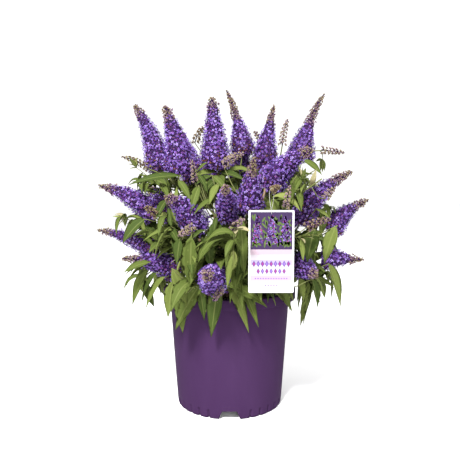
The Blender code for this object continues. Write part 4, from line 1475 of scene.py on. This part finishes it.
def grow_leaf(name, numbers, joint, way, side, size, taken):
    """The first of several chosen leaves that has room, or None."""
    late = np.linspace(0, 1, LEAF_CHOICES)
    turns = numbers.uniform(-1, 1, LEAF_CHOICES) * (0.35 + 2.6 * late)
    opening = numbers.uniform(0.1, 0.9, LEAF_CHOICES)
    other = np.cross(way, side)
    alongs = unit(swung(side, other, turns) + way * opening[:, None])
    lengths = size * numbers.uniform(*LEAF_LENGTHS, LEAF_CHOICES) * (1 - 0.40 * late)
    widths = lengths * LEAF_WIDTH_SHARE * numbers.uniform(*LEAF_WIDTHS, LEAF_CHOICES)
    droops = numbers.uniform(*(TOP_DROOPS if name in TOP_MASSES else SIDE_DROOPS), LEAF_CHOICES)
    roots = np.repeat(joint[None], LEAF_CHOICES, axis=0)
    lines, ways = leaf_lines(roots, alongs, lengths, droops)
    tests = leaf_tests(lines, ways, widths)
    lowest = numbers.uniform(*LEAF_LOWEST)
    over_pot = LEAF_LOWEST[0] if numbers.random() < OVER_POT_CHANCE else LEAF_OVER_POT
    near = np.hypot(tests[..., 0], tests[..., 1]) < LIP_RADIUS + LEAF_POT_REACH
    high = tests[..., 2] > np.where(near, max(lowest, over_pot), lowest)
    fits = leaf_fits(name, tests) & high.all(1)
    for index in np.flatnonzero(fits):
        middle = lines[index, LEAF_ROWS // 2]
        if not taken or np.linalg.norm(np.array(taken) - middle, axis=1).min() > LEAF_APART:
            taken.append(middle)
            return [joint, alongs[index], lengths[index], widths[index], droops[index]]
    return None


def joints_along(points, first):
    """Places along a limb for leaf pairs, with the limb's direction at each."""
    line = np.array(points, float)
    steps = np.linalg.norm(np.diff(line, axis=0), axis=1)
    reach = np.concatenate([[0], np.cumsum(steps)])
    spots = np.arange(reach[-1], first * reach[-1], -LEAF_SPACING)
    found = []
    for spot in spots:
        step = min(np.searchsorted(reach, spot, side="right") - 1, len(steps) - 1)
        share = (spot - reach[step]) / steps[step]
        joint = line[step] + (line[step + 1] - line[step]) * share
        found.append((joint, unit(line[step + 1] - line[step]), spot / reach[-1]))
    return found


def leafy_limb(name, numbers, points, room, taken, bears_head):
    """Leaf pairs down a limb from its tip, each pair turned a quarter from the last."""
    found = []
    quarter = numbers.uniform(0, math.pi)
    spray = numbers.choice(len(TONE_DEAL), p=TONE_DEAL)
    for joint, way, share in joints_along(points, 0.12):
        across = unit(np.cross(way, [0.0, 0.0, 1.0]) + [1e-6, 0, 0])
        above = np.cross(across, way)
        quarter += math.pi / 2
        side = across * math.cos(quarter) + above * math.sin(quarter)
        size = LEAF_LENGTH * (1 - (0.35 if bears_head else 0.5) * share**3)
        for way_out in (side, -side):
            if len(found) >= room:
                return found
            leaf = grow_leaf(name, numbers, joint, way, way_out, size, taken)
            if leaf:
                tone = spray
                if numbers.random() >= SPRAY_TONE_SHARE:
                    tone = numbers.choice(len(TONE_DEAL), p=TONE_DEAL)
                found.append(leaf + [numbers.uniform(-LEAF_ROLL, LEAF_ROLL), tone])
    return found


def young_tip(points, numbers):
    """A tuft of pale young leaves at the end of a sprig."""
    line = np.array(points, float)
    way = unit(line[-1] - line[-2])
    young = len(LEAF_TONES) - 1
    found = []
    for index in range(TUFT_LEAVES):
        spread = unit(numbers.normal(size=3))
        along = unit(way + 0.8 * spread)
        length = numbers.uniform(*TUFT_LENGTHS)
        width = length * LEAF_WIDTH_SHARE
        tone = young if index < YOUNG_TUFT_LEAVES else young - 1
        found.append([line[-1], along, length, width, numbers.uniform(0, 0.5), 0.0, tone])
    return found


def turned(thing, degrees):
    """The leaf or spike turned round the pot."""
    turn = math.radians(degrees)

    def moved(spot):
        x, y, z = spot
        across = x * math.cos(turn) - y * math.sin(turn)
        return across, x * math.sin(turn) + y * math.cos(turn), z

    return thing._replace(start=moved(thing.start), tip=moved(thing.tip))


def both_sides(things):
    """The leaves or spikes, and then the same ones turned round to the back."""
    return things + [turned(thing, 180) for thing in things]


def fringe(degrees):
    """The long leaves that hang before the pot, turned round to one of its sides,
    where they are clear of the flower heads."""
    found = []
    for leaf in LONG_LEAVES:
        if abs(leaf.start[0]) < FRINGE_HALF_WIDTH and leaf.start[2] < FRINGE_HEIGHT:
            there = turned(leaf, degrees)
            line = np.linspace(there.start, there.tip, LEAF_ROWS)
            apart = np.linalg.norm(line[:, None] - HEAD_SPOTS, axis=-1) - HEAD_RADII
            if apart.min() > leaf.width / 3 and not hides_a_head(line[None])[0]:
                found.append(there)
    return found


def join_twig(heap, thing, limbs):
    """A thin twig to where the leaf or spike starts, from the nearest limb that it
    can come from without crossing a flower head."""
    start = np.array(thing.start)
    way = unit(np.array(thing.tip) - start)
    nearby = np.linalg.norm(limbs - start, axis=1).argsort()
    nearby = nearby[:JOIN_CHOICES * JOIN_STEP:JOIN_STEP]
    for limb in limbs[np.append(nearby, nearby[0])]:
        sag = DOWN * 0.15 * np.linalg.norm(start - limb)
        line = smoothed([limb, (limb + start) / 2 + sag, start, start + way * 0.004], TWIG_STEPS)
        if not hides_a_head(line[None])[0]:
            break
    add_tube(heap, line, taper(SPRIG_RADIUS, JOIN_TIP_RADIUS, len(line)), TWIG_SIDES, 0)


def long_leaf(leaf, numbers):
    """A leaf from its start to its tip, along a way and with a droop that fit them."""
    start, tip = np.array(leaf.start), np.array(leaf.tip)
    span = tip - start
    droop = LONG_LEAF_DROOP + STEEP_LEAF_DROOP * max(0.0, -unit(span)[2])
    along = unit(unit(span) - DOWN * droop * 0.9)
    lines, _ = leaf_lines(start[None], along[None], np.array([1.0]), np.array([droop]))
    for _ in range(FITTING_ROUNDS):
        reached = lines[0, -1] - start
        along = unit(along + unit(span) - unit(reached))
        lines, _ = leaf_lines(start[None], along[None], np.array([1.0]), np.array([droop]))
    length = np.linalg.norm(span) / np.linalg.norm(lines[0, -1] - start)
    tone = numbers.choice(LONG_LEAF_DEAL)
    roll = numbers.uniform(-LONG_LEAF_ROLL, LONG_LEAF_ROLL)
    return [start, along, length, leaf.width, droop, roll, tone]


def build_foliage():
    leaf_heaps = {part_of(name): Heap() for name in MASSES}
    twigs = Heap()
    lines = []
    numbers = np.random.default_rng(SEED)
    for name in MASSES:
        chance = random.Random(f"{SEED} {name}")
        shoots = head_shoots(name)
        branches = [points for points in side_twigs(name, chance, shoots) if seen_clear(points)]
        fine = [points for points in sprigs(name, chance, shoots + branches) if seen_clear(points)]
        for points in shoots + branches:
            line = smoothed(points, TWIG_STEPS * 2)
            foot = STEM_RADIUS if points is shoots[0] else SHOOT_RADIUS
            radii = taper(foot, SHOOT_TIP_RADIUS, len(line))
            add_tube(twigs, line, radii, TWIG_SIDES, 0)
            lines.append(line)
        for points in fine:
            line = smoothed(points, TWIG_STEPS)
            radii = taper(SPRIG_RADIUS, SPRIG_TIP_RADIUS, len(line))
            add_tube(twigs, line, radii, TWIG_SIDES, 0)
        taken = []
        leaves = []
        for points in fine + branches + shoots:
            room = LEAVES_PER_MASS - len(leaves)
            bears_head = any(points is shoot for shoot in shoots)
            leaves += leafy_limb(name, numbers, points, room, taken, bears_head)
        for points in fine[::3]:
            leaves += young_tip(points, numbers)
        add_leaves(leaf_heaps[part_of(name)], leaves, numbers)
    back = [turned(leaf, 180) for leaf in LONG_LEAVES]
    placed = []
    for part, degrees, there in (
        ("front", 0, LONG_LEAVES), ("back", 180, back), ("side", 90, fringe(90)),
        ("side", -90, fringe(-90)),
    ):
        facing = turned(Span(FRONT, FRONT, 0), degrees).start
        leaves = [long_leaf(leaf, numbers) for leaf in there]
        add_leaves(leaf_heaps[part], leaves, numbers, facing)
        placed += there
    for thing in both_sides(YOUNG_SPIKES) + placed:
        join_twig(twigs, thing, np.concatenate(lines))
    return leaf_heaps, twigs


# Bark


def ridged(line, radii, sides, numbers):
    """A radius for each ring and side, with ridges that wander along the stem."""
    rows = len(line)
    turn = turns_round(sides)
    along = np.arange(rows)[:, None]
    relief = np.zeros((rows, sides))
    for ridges in RIDGES:
        phase = numbers.uniform(0, 6) + 0.12 * along
        phase = phase + 0.5 * np.sin(along * numbers.uniform(0.1, 0.3))
        relief += np.sin(ridges * turn + phase) / ridges
    off_knot = np.arange(rows) % KNOT_EVERY - KNOT_EVERY // 2
    knots = 1 + KNOT_RELIEF * np.exp(-(off_knot**2) / 3.0)
    return np.asarray(radii)[:, None] * (1 + RIDGE_RELIEF * relief) * knots[:, None]


def build_bark():
    heap = Heap()
    numbers = np.random.default_rng(SEED + 1)
    top = MIX_HEIGHT + CROWN_HEIGHT + CROWN_CAP
    heights = np.linspace(MIX_HEIGHT - BARK_SINK, top, CROWN_RINGS)
    line = np.stack([0 * heights, 0 * heights, heights], axis=1)
    shares = (heights - MIX_HEIGHT) / CROWN_HEIGHT
    radii = crown_radius(np.clip(shares, 0, 1)) * np.interp(shares, *CROWN_ROUNDING)
    add_tube(heap, line, ridged(line, radii, CROWN_SIDES, numbers), CROWN_SIDES, 0)
    for name in MASSES:
        points = [np.array(point) for point in bough_route(name)]
        inner = points[0] - unit(points[1] - points[0]) * BARK_SINK
        line = smoothed([inner] + points, BOUGH_RINGS)
        rings = np.arange(len(line))
        radii = np.interp(rings, [0, 5, rings[-1]], BOUGH_TAPER) * BOUGH_RADIUS
        add_tube(heap, line, ridged(line, radii, BOUGH_SIDES, numbers), BOUGH_SIDES, 0)
    return heap


# Pot and potting mix


def pot_radius(height):
    """The outer radius of the pot's wall at this height."""
    share = (height - FOOT_HEIGHT) / (POT_HEIGHT - FOOT_HEIGHT)
    return POT_BASE_RADIUS + (POT_MOUTH_RADIUS - POT_BASE_RADIUS) * share


def ring_at(radius, turns, height):
    """A level ring of points round the pot's axis."""
    return np.stack([radius * np.sin(turns), -radius * np.cos(turns), height + 0 * turns], axis=1)


def foot_edge(turns):
    """How far the foot's lower edge stands off the ground, and how deep its groove
    is, at each turn round the pot."""
    step = 2 * math.pi / GROOVES
    off_groove = np.abs((turns + step / 2) % step - step / 2) * POT_BASE_RADIUS
    groove = np.exp(-((off_groove / GROOVE_WIDTH) ** 2))
    quarter = 2 * math.pi / NOTCHES
    off_notch = np.abs((turns + quarter / 2) % quarter - quarter / 2) * POT_BASE_RADIUS
    slope = (NOTCH_BOTTOM_WIDTH - NOTCH_TOP_WIDTH) / 2
    notch = np.clip((NOTCH_BOTTOM_WIDTH / 2 - off_notch) / slope, 0, 1) * NOTCH_HEIGHT
    near_notch = off_notch < NOTCH_BOTTOM_WIDTH / 2 + GROOVE_WIDTH
    groove = np.where(near_notch, 0, groove)
    return np.maximum(notch, groove * GROOVE_LIFT), groove


def build_pot():
    heap = Heap()
    turns = turns_round(POT_COLUMNS)
    edge, groove = foot_edge(turns)
    floor_top = FOOT_HEIGHT + POT_WALL
    rows = []

    def add_row(radius, height):
        rows.append((radius + 0 * turns, height + 0 * turns))

    def add_arc(radius, height, size, first, last, steps=4):
        for step in range(steps + 1):
            turn = math.radians(first + (last - first) * step / steps)
            add_row(radius + size * math.cos(turn), height + size * math.sin(turn))

    add_row(FLOOR_HUB, floor_top)
    add_row(pot_radius(floor_top) - POT_WALL, floor_top)
    bead = POT_WALL / 2
    add_arc(POT_MOUTH_RADIUS - bead, POT_HEIGHT - bead, bead, 180, 90, 3)
    add_arc(LIP_RADIUS - LIP_ROUNDING, POT_HEIGHT - LIP_ROUNDING, LIP_ROUNDING, 90, 0)
    lip_bottom = POT_HEIGHT - LIP_DROP
    add_arc(LIP_RADIUS - bead, lip_bottom + bead, bead, 0, -180)
    add_row(LIP_RADIUS - POT_WALL, POT_HEIGHT - POT_WALL - LIP_CORNER)
    add_row(pot_radius(POT_HEIGHT) + LIP_CORNER, POT_HEIGHT - POT_WALL)
    add_row(pot_radius(POT_HEIGHT - WALL_START), POT_HEIGHT - WALL_START)
    for share in np.linspace(0.1, 1, WALL_ROWS):
        height = POT_HEIGHT - WALL_START
        height += (FOOT_HEIGHT + WALL_END - POT_HEIGHT + WALL_START) * share
        add_row(pot_radius(height), height)
    for share in FOOT_ROWS:
        height = FOOT_HEIGHT + (edge - FOOT_HEIGHT) * share
        depth = GROOVE_DEPTH * groove * math.sin(min(1.0, share / GROOVE_RUN_OUT) * math.pi / 2)
        under = FOOT_ROUNDING * max(0.0, (share - 0.75) / 0.25) ** 2.5
        rows.append((pot_radius(height) - depth - under, height))
    inner = pot_radius(0.0) - FOOT_WALL - FOOT_ROUNDING
    add_row(inner, edge)
    add_row(inner + FOOT_DRAFT, FOOT_HEIGHT)
    add_row(FLOOR_HUB, FOOT_HEIGHT)
    points = np.array([ring_at(radius, turns, height) for radius, height in rows])
    add_rings(heap, points[:, ::-1], 0)
    return heap


def build_mix():
    """The lumpy surface of the mix, with a rim that goes down inside the pot."""
    numbers = np.random.default_rng(SEED + 2)
    edge = pot_radius(MIX_EDGE_HEIGHT) - POT_WALL - 2 * GAP
    turns = turns_round(MIX_COLUMNS)
    rings = []
    for ring in range(MIX_RINGS + 1):
        share = ring / MIX_RINGS
        radius = MIX_HUB + (edge - MIX_HUB) * share
        height = MIX_HEIGHT + (MIX_EDGE_HEIGHT - MIX_HEIGHT) * share**2
        lumps = numbers.normal(0, MIX_LUMPS, MIX_COLUMNS) * (share < 1)
        rings.append(ring_at(radius, turns, height + lumps))
    bottom = MIX_EDGE_HEIGHT - MIX_DEPTH
    rings.append(ring_at(pot_radius(bottom) - POT_WALL - 2 * GAP, turns, bottom))
    heap = Heap()
    add_rings(heap, np.array(rings)[:, ::-1], 0)
    return heap


def build_crumbs():
    """Bark chips, peat lumps and a little grit lying on the mix."""
    numbers = np.random.default_rng(SEED + 3)
    form = BUD[0] - [0, 0, 0.5]
    edge = pot_radius(MIX_EDGE_HEIGHT) - POT_WALL - CRUMB_MARGIN
    reach = edge * np.sqrt(numbers.random(CRUMBS))
    turn = numbers.uniform(0, 2 * math.pi, CRUMBS)
    height = MIX_HEIGHT + (MIX_EDGE_HEIGHT - MIX_HEIGHT) * (reach / edge) ** 2
    spots = np.stack([reach * np.sin(turn), reach * np.cos(turn), height + CRUMB_LIFT], axis=1)
    ways = unit(numbers.normal(size=(CRUMBS, 3)) * [1, 1, 0.35])
    sizes = numbers.uniform(*CRUMB_SIZES, (CRUMBS, 1)) * numbers.uniform(0.5, 1.4, (CRUMBS, 3))
    heap = Heap()
    deal = [share for _, _, share in CRUMB_KINDS.values()]
    finish = numbers.choice(len(deal), CRUMBS, p=deal)
    heap.add(stand(form, spots, ways, turn * 5, sizes), BUD[1], finish[:, None])
    return heap


# Hang tag


def build_loop():
    """A thin closed loop through the hole and over the shoot above, a quarter
    turned on the way."""
    low = TAG_CENTRE + UP * (TAG_HEIGHT / 2 - TAG_HOLE_DROP - TAG_LOOP_SINK)
    points = []
    for step in range(TAG_LOOP_STEPS):
        turn = 2 * math.pi * step / TAG_LOOP_STEPS
        share = (1 - math.cos(turn)) / 2
        side = Vector((0.0, 1.0, 0.0)).lerp(Vector((1.0, 0.0, 0.0)), share).normalized()
        swell = math.copysign(abs(math.sin(turn)) ** TAG_LOOP_FULLNESS, math.sin(turn))
        points.append(low + UP * TAG_LOOP_RISE * share + side * TAG_LOOP_HALF_WIDTH * swell)
    curve = bpy.data.curves.new("tag_strand", "CURVE")
    curve.dimensions = "3D"
    curve.bevel_depth = TAG_LOOP_WIRE
    curve.bevel_resolution = 2
    line = curve.splines.new("POLY")
    line.points.add(len(points) - 1)
    line.use_cyclic_u = True
    for spot, point in zip(line.points, points):
        spot.co = (*point, 1.0)
    curve.materials.append(new_material("clear strand", STRAND_COLOUR, *SHEENS["strand"]))
    return add_object("tag_strand", curve)


def add_print(heap, outline, layer, finish):
    """A thin flat shape on the card's face, from an outline in card coordinates:
    metres across and up from the card's middle."""
    outline = np.asarray(outline, float)
    front = TAG_CENTRE.y - TAG_THICKNESS / 2 - PRINT_GAP - PRINT_DEPTH * layer
    count = len(outline)
    sheets = []
    for y in (front - PRINT_DEPTH, front):
        x = TAG_CENTRE.x + outline[:, 0]
        z = TAG_CENTRE.z + outline[:, 1]
        sheets.append(np.stack([x, np.full(count, y), z], axis=1))
    add_rings(heap, np.array(sheets)[:, ::-1], finish)


def oval(across, up, half_width, half_height, turn=0.0, points=14):
    angles = turns_round(points)
    x, z = half_width * np.cos(angles), half_height * np.sin(angles)
    return np.stack([
        across + x * math.cos(turn) - z * math.sin(turn),
        up + x * math.sin(turn) + z * math.cos(turn),
    ], axis=1)


def box_outline(left, bottom, right, top):
    return [(left, bottom), (right, bottom), (right, top), (left, top)]


def build_print():
    """A generic garden design: upright flower sprays over leaves above, and level
    pale bands below, with rows of diamonds and dots."""
    heap = Heap()
    numbers = np.random.default_rng(SEED + 4)
    white, blush, lavender, shade, leaf, violet, lilac, magenta = range(len(PRINT_COLOURS))
    half_width = TAG_WIDTH / 2 - TAG_BORDER
    half_height = TAG_HEIGHT / 2 - TAG_BORDER
    sky = box_outline(-half_width, PRINT_SPLIT, half_width, half_height)
    add_print(heap, sky, 0, shade)
    bands = (blush, white, lavender, white, white, blush, white, white)
    depth = (PRINT_SPLIT + half_height) / len(bands)
    for band, finish in enumerate(bands):
        top = PRINT_SPLIT - band * depth
        add_print(heap, box_outline(-half_width, top - depth, half_width, top), 0, finish)
    edge = half_width - 0.004
    height = half_height - PRINT_SPLIT - 2 * PRINT_LEAF_MARGIN
    for _ in range(PRINT_LEAVES):
        across = numbers.uniform(-edge, edge)
        up = PRINT_SPLIT + PRINT_LEAF_MARGIN + height * numbers.random() ** 1.6
        length = numbers.uniform(*PRINT_LEAF_LENGTHS)
        turn = numbers.uniform(-0.9, 0.9)
        add_print(heap, oval(across, up, PRINT_LEAF_HALF_WIDTH, length, turn), 1, leaf)
    for across, foot, length in PRINT_SPRAYS:
        for _ in range(PRINT_FLORETS):
            share = numbers.random()
            spread = PRINT_SPRAY_REACH * (1 - share) ** 0.7
            spot = (across + numbers.uniform(-spread, spread), foot + length * share)
            size = numbers.uniform(*PRINT_FLORET_SIZES)
            finish = numbers.choice((violet, violet, lilac, lilac, magenta))
            add_print(heap, oval(*spot, size, size, 0, 6), 2, finish)
    for up, count, wide, high in PRINT_DIAMONDS:
        for index in range(count):
            spot = (PRINT_DIAMOND_STEP * (index - (count - 1) / 2), up)
            heart = (wide * PRINT_DIAMOND_HEART, high * PRINT_DIAMOND_HEART)
            add_print(heap, oval(*spot, wide, high, 0, 4), 1, violet)
            add_print(heap, oval(*spot, *heart, 0, 4), 2, (magenta, lilac)[index % 2])
    for (up, count, step, size), finish in zip(PRINT_DOTS, (lilac, violet)):
        for index in range(count):
            spot = (step * (index - count // 2), up)
            add_print(heap, oval(*spot, size, size, 0, 8), 1, finish)
    return heap


# The scene


def add_stage():
    mesh = bpy.data.meshes.new("floor")
    corners = box_outline(-FLOOR_SIZE, -FLOOR_SIZE, FLOOR_SIZE, FLOOR_SIZE)
    mesh.from_pydata([(x, y, 0) for x, y in corners], [], [(0, 1, 2, 3)])
    pale = new_material("pale floor", (FLOOR_SHADE, FLOOR_SHADE, FLOOR_SHADE), 0.9, 0.0)
    shader = pale.node_tree.nodes["Principled BSDF"]
    shader.inputs["Emission Color"].default_value = (1.0, 1.0, 1.0, 1.0)
    shader.inputs["Emission Strength"].default_value = FLOOR_GLOW
    mesh.materials.append(pale)
    add_object("floor", mesh)


def add_area(name, spot, size, power):
    light = bpy.data.lights.new(name, "AREA")
    light.shape = "DISK"
    light.size = size
    light.energy = power
    made = add_object(name, light)
    made.location = spot
    facing = Vector(LIGHT_TARGET) - Vector(spot)
    made.rotation_euler = facing.to_track_quat("-Z", "Y").to_euler()


def add_lights():
    world = bpy.data.worlds.new("studio")
    world.use_nodes = True
    background = world.node_tree.nodes["Background"]
    background.inputs["Color"].default_value = (1.0, 1.0, 1.0, 1.0)
    background.inputs["Strength"].default_value = WORLD_STRENGTH
    bpy.context.scene.world = world
    for name, (spot, size, power) in LIGHTS.items():
        add_area(name, spot, size, power)
    bpy.context.scene.view_settings.view_transform = "Standard"


def add_camera():
    lens = bpy.data.cameras.new("camera")
    lens.sensor_width = SENSOR_WIDTH
    lens.lens = FOCAL_PIXELS / FRAME_PIXELS * SENSOR_WIDTH
    made = add_object("camera", lens)
    made.location = CAMERA_PLACE
    made.rotation_euler = (math.radians(90 - CAMERA_PITCH), 0, 0)
    bpy.context.scene.camera = made


def finish_piece(piece, slot, *nodes):
    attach(piece, "root")
    if nodes:
        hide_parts(*nodes)


def main():
    add_camera()
    add_stage()
    add_lights()
    finish_piece(build_pot().piece("pot_shell", [pot_material()]), "pot_plastic", "pot")
    finish_piece(build_mix().piece("mix_surface", [mix_material()]), "potting_mix", "potting_mix")
    crumbs = [
        new_material(name, colour, roughness, 0.2)
        for name, (colour, roughness, _) in CRUMB_KINDS.items()
    ]
    finish_piece(build_crumbs().piece("mix_crumbs", crumbs, False), "potting_mix")
    limbs = ["crown_stem"] + [name.replace("foliage", "bough") for name in MASSES]
    finish_piece(build_bark().piece("bark", [bark_material()]), "bark", *limbs)
    leaf_heaps, twigs = build_foliage()
    greens = leaf_materials()
    green_twig = leaf_material("green twig", TWIG_COLOUR)
    finish_piece(twigs.piece("twigs", [green_twig]), "foliage", *MASSES)
    for part, heap in leaf_heaps.items():
        finish_piece(heap.piece(f"leaves_{part}", greens), "foliage")
    florets, buds, cores = build_heads()
    petals = petal_materials("petal", FLORET_COLOURS)
    petals += [petal_material("faded petal", FADED_COLOUR)]
    petals += petal_materials("flower eye", EYE_COLOURS)
    for part, heap in florets.items():
        finish_piece(heap.piece(f"florets_{part}", petals, False), "foliage")
    finish_piece(buds.piece("buds", petal_materials("bud", BUD_COLOURS)), "foliage")
    # The cores' near-black colour is painted shade between the florets
    finish_piece(cores.piece("flower_cores", [petal_material("calyx and painted shade", CALYX_AND_SHADE_COLOUR)]), "foliage")
    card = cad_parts["tag_card"]
    card.data.materials.clear()
    card.data.materials.append(card_material("white card", CARD_COLOUR))
    prints = [card_material(name, colour) for name, colour in PRINT_COLOURS.items()]
    finish_piece(build_print().piece("tag_print", prints, False), "tag_card")
    finish_piece(build_loop(), "tag_loop", "tag_loop")


main()
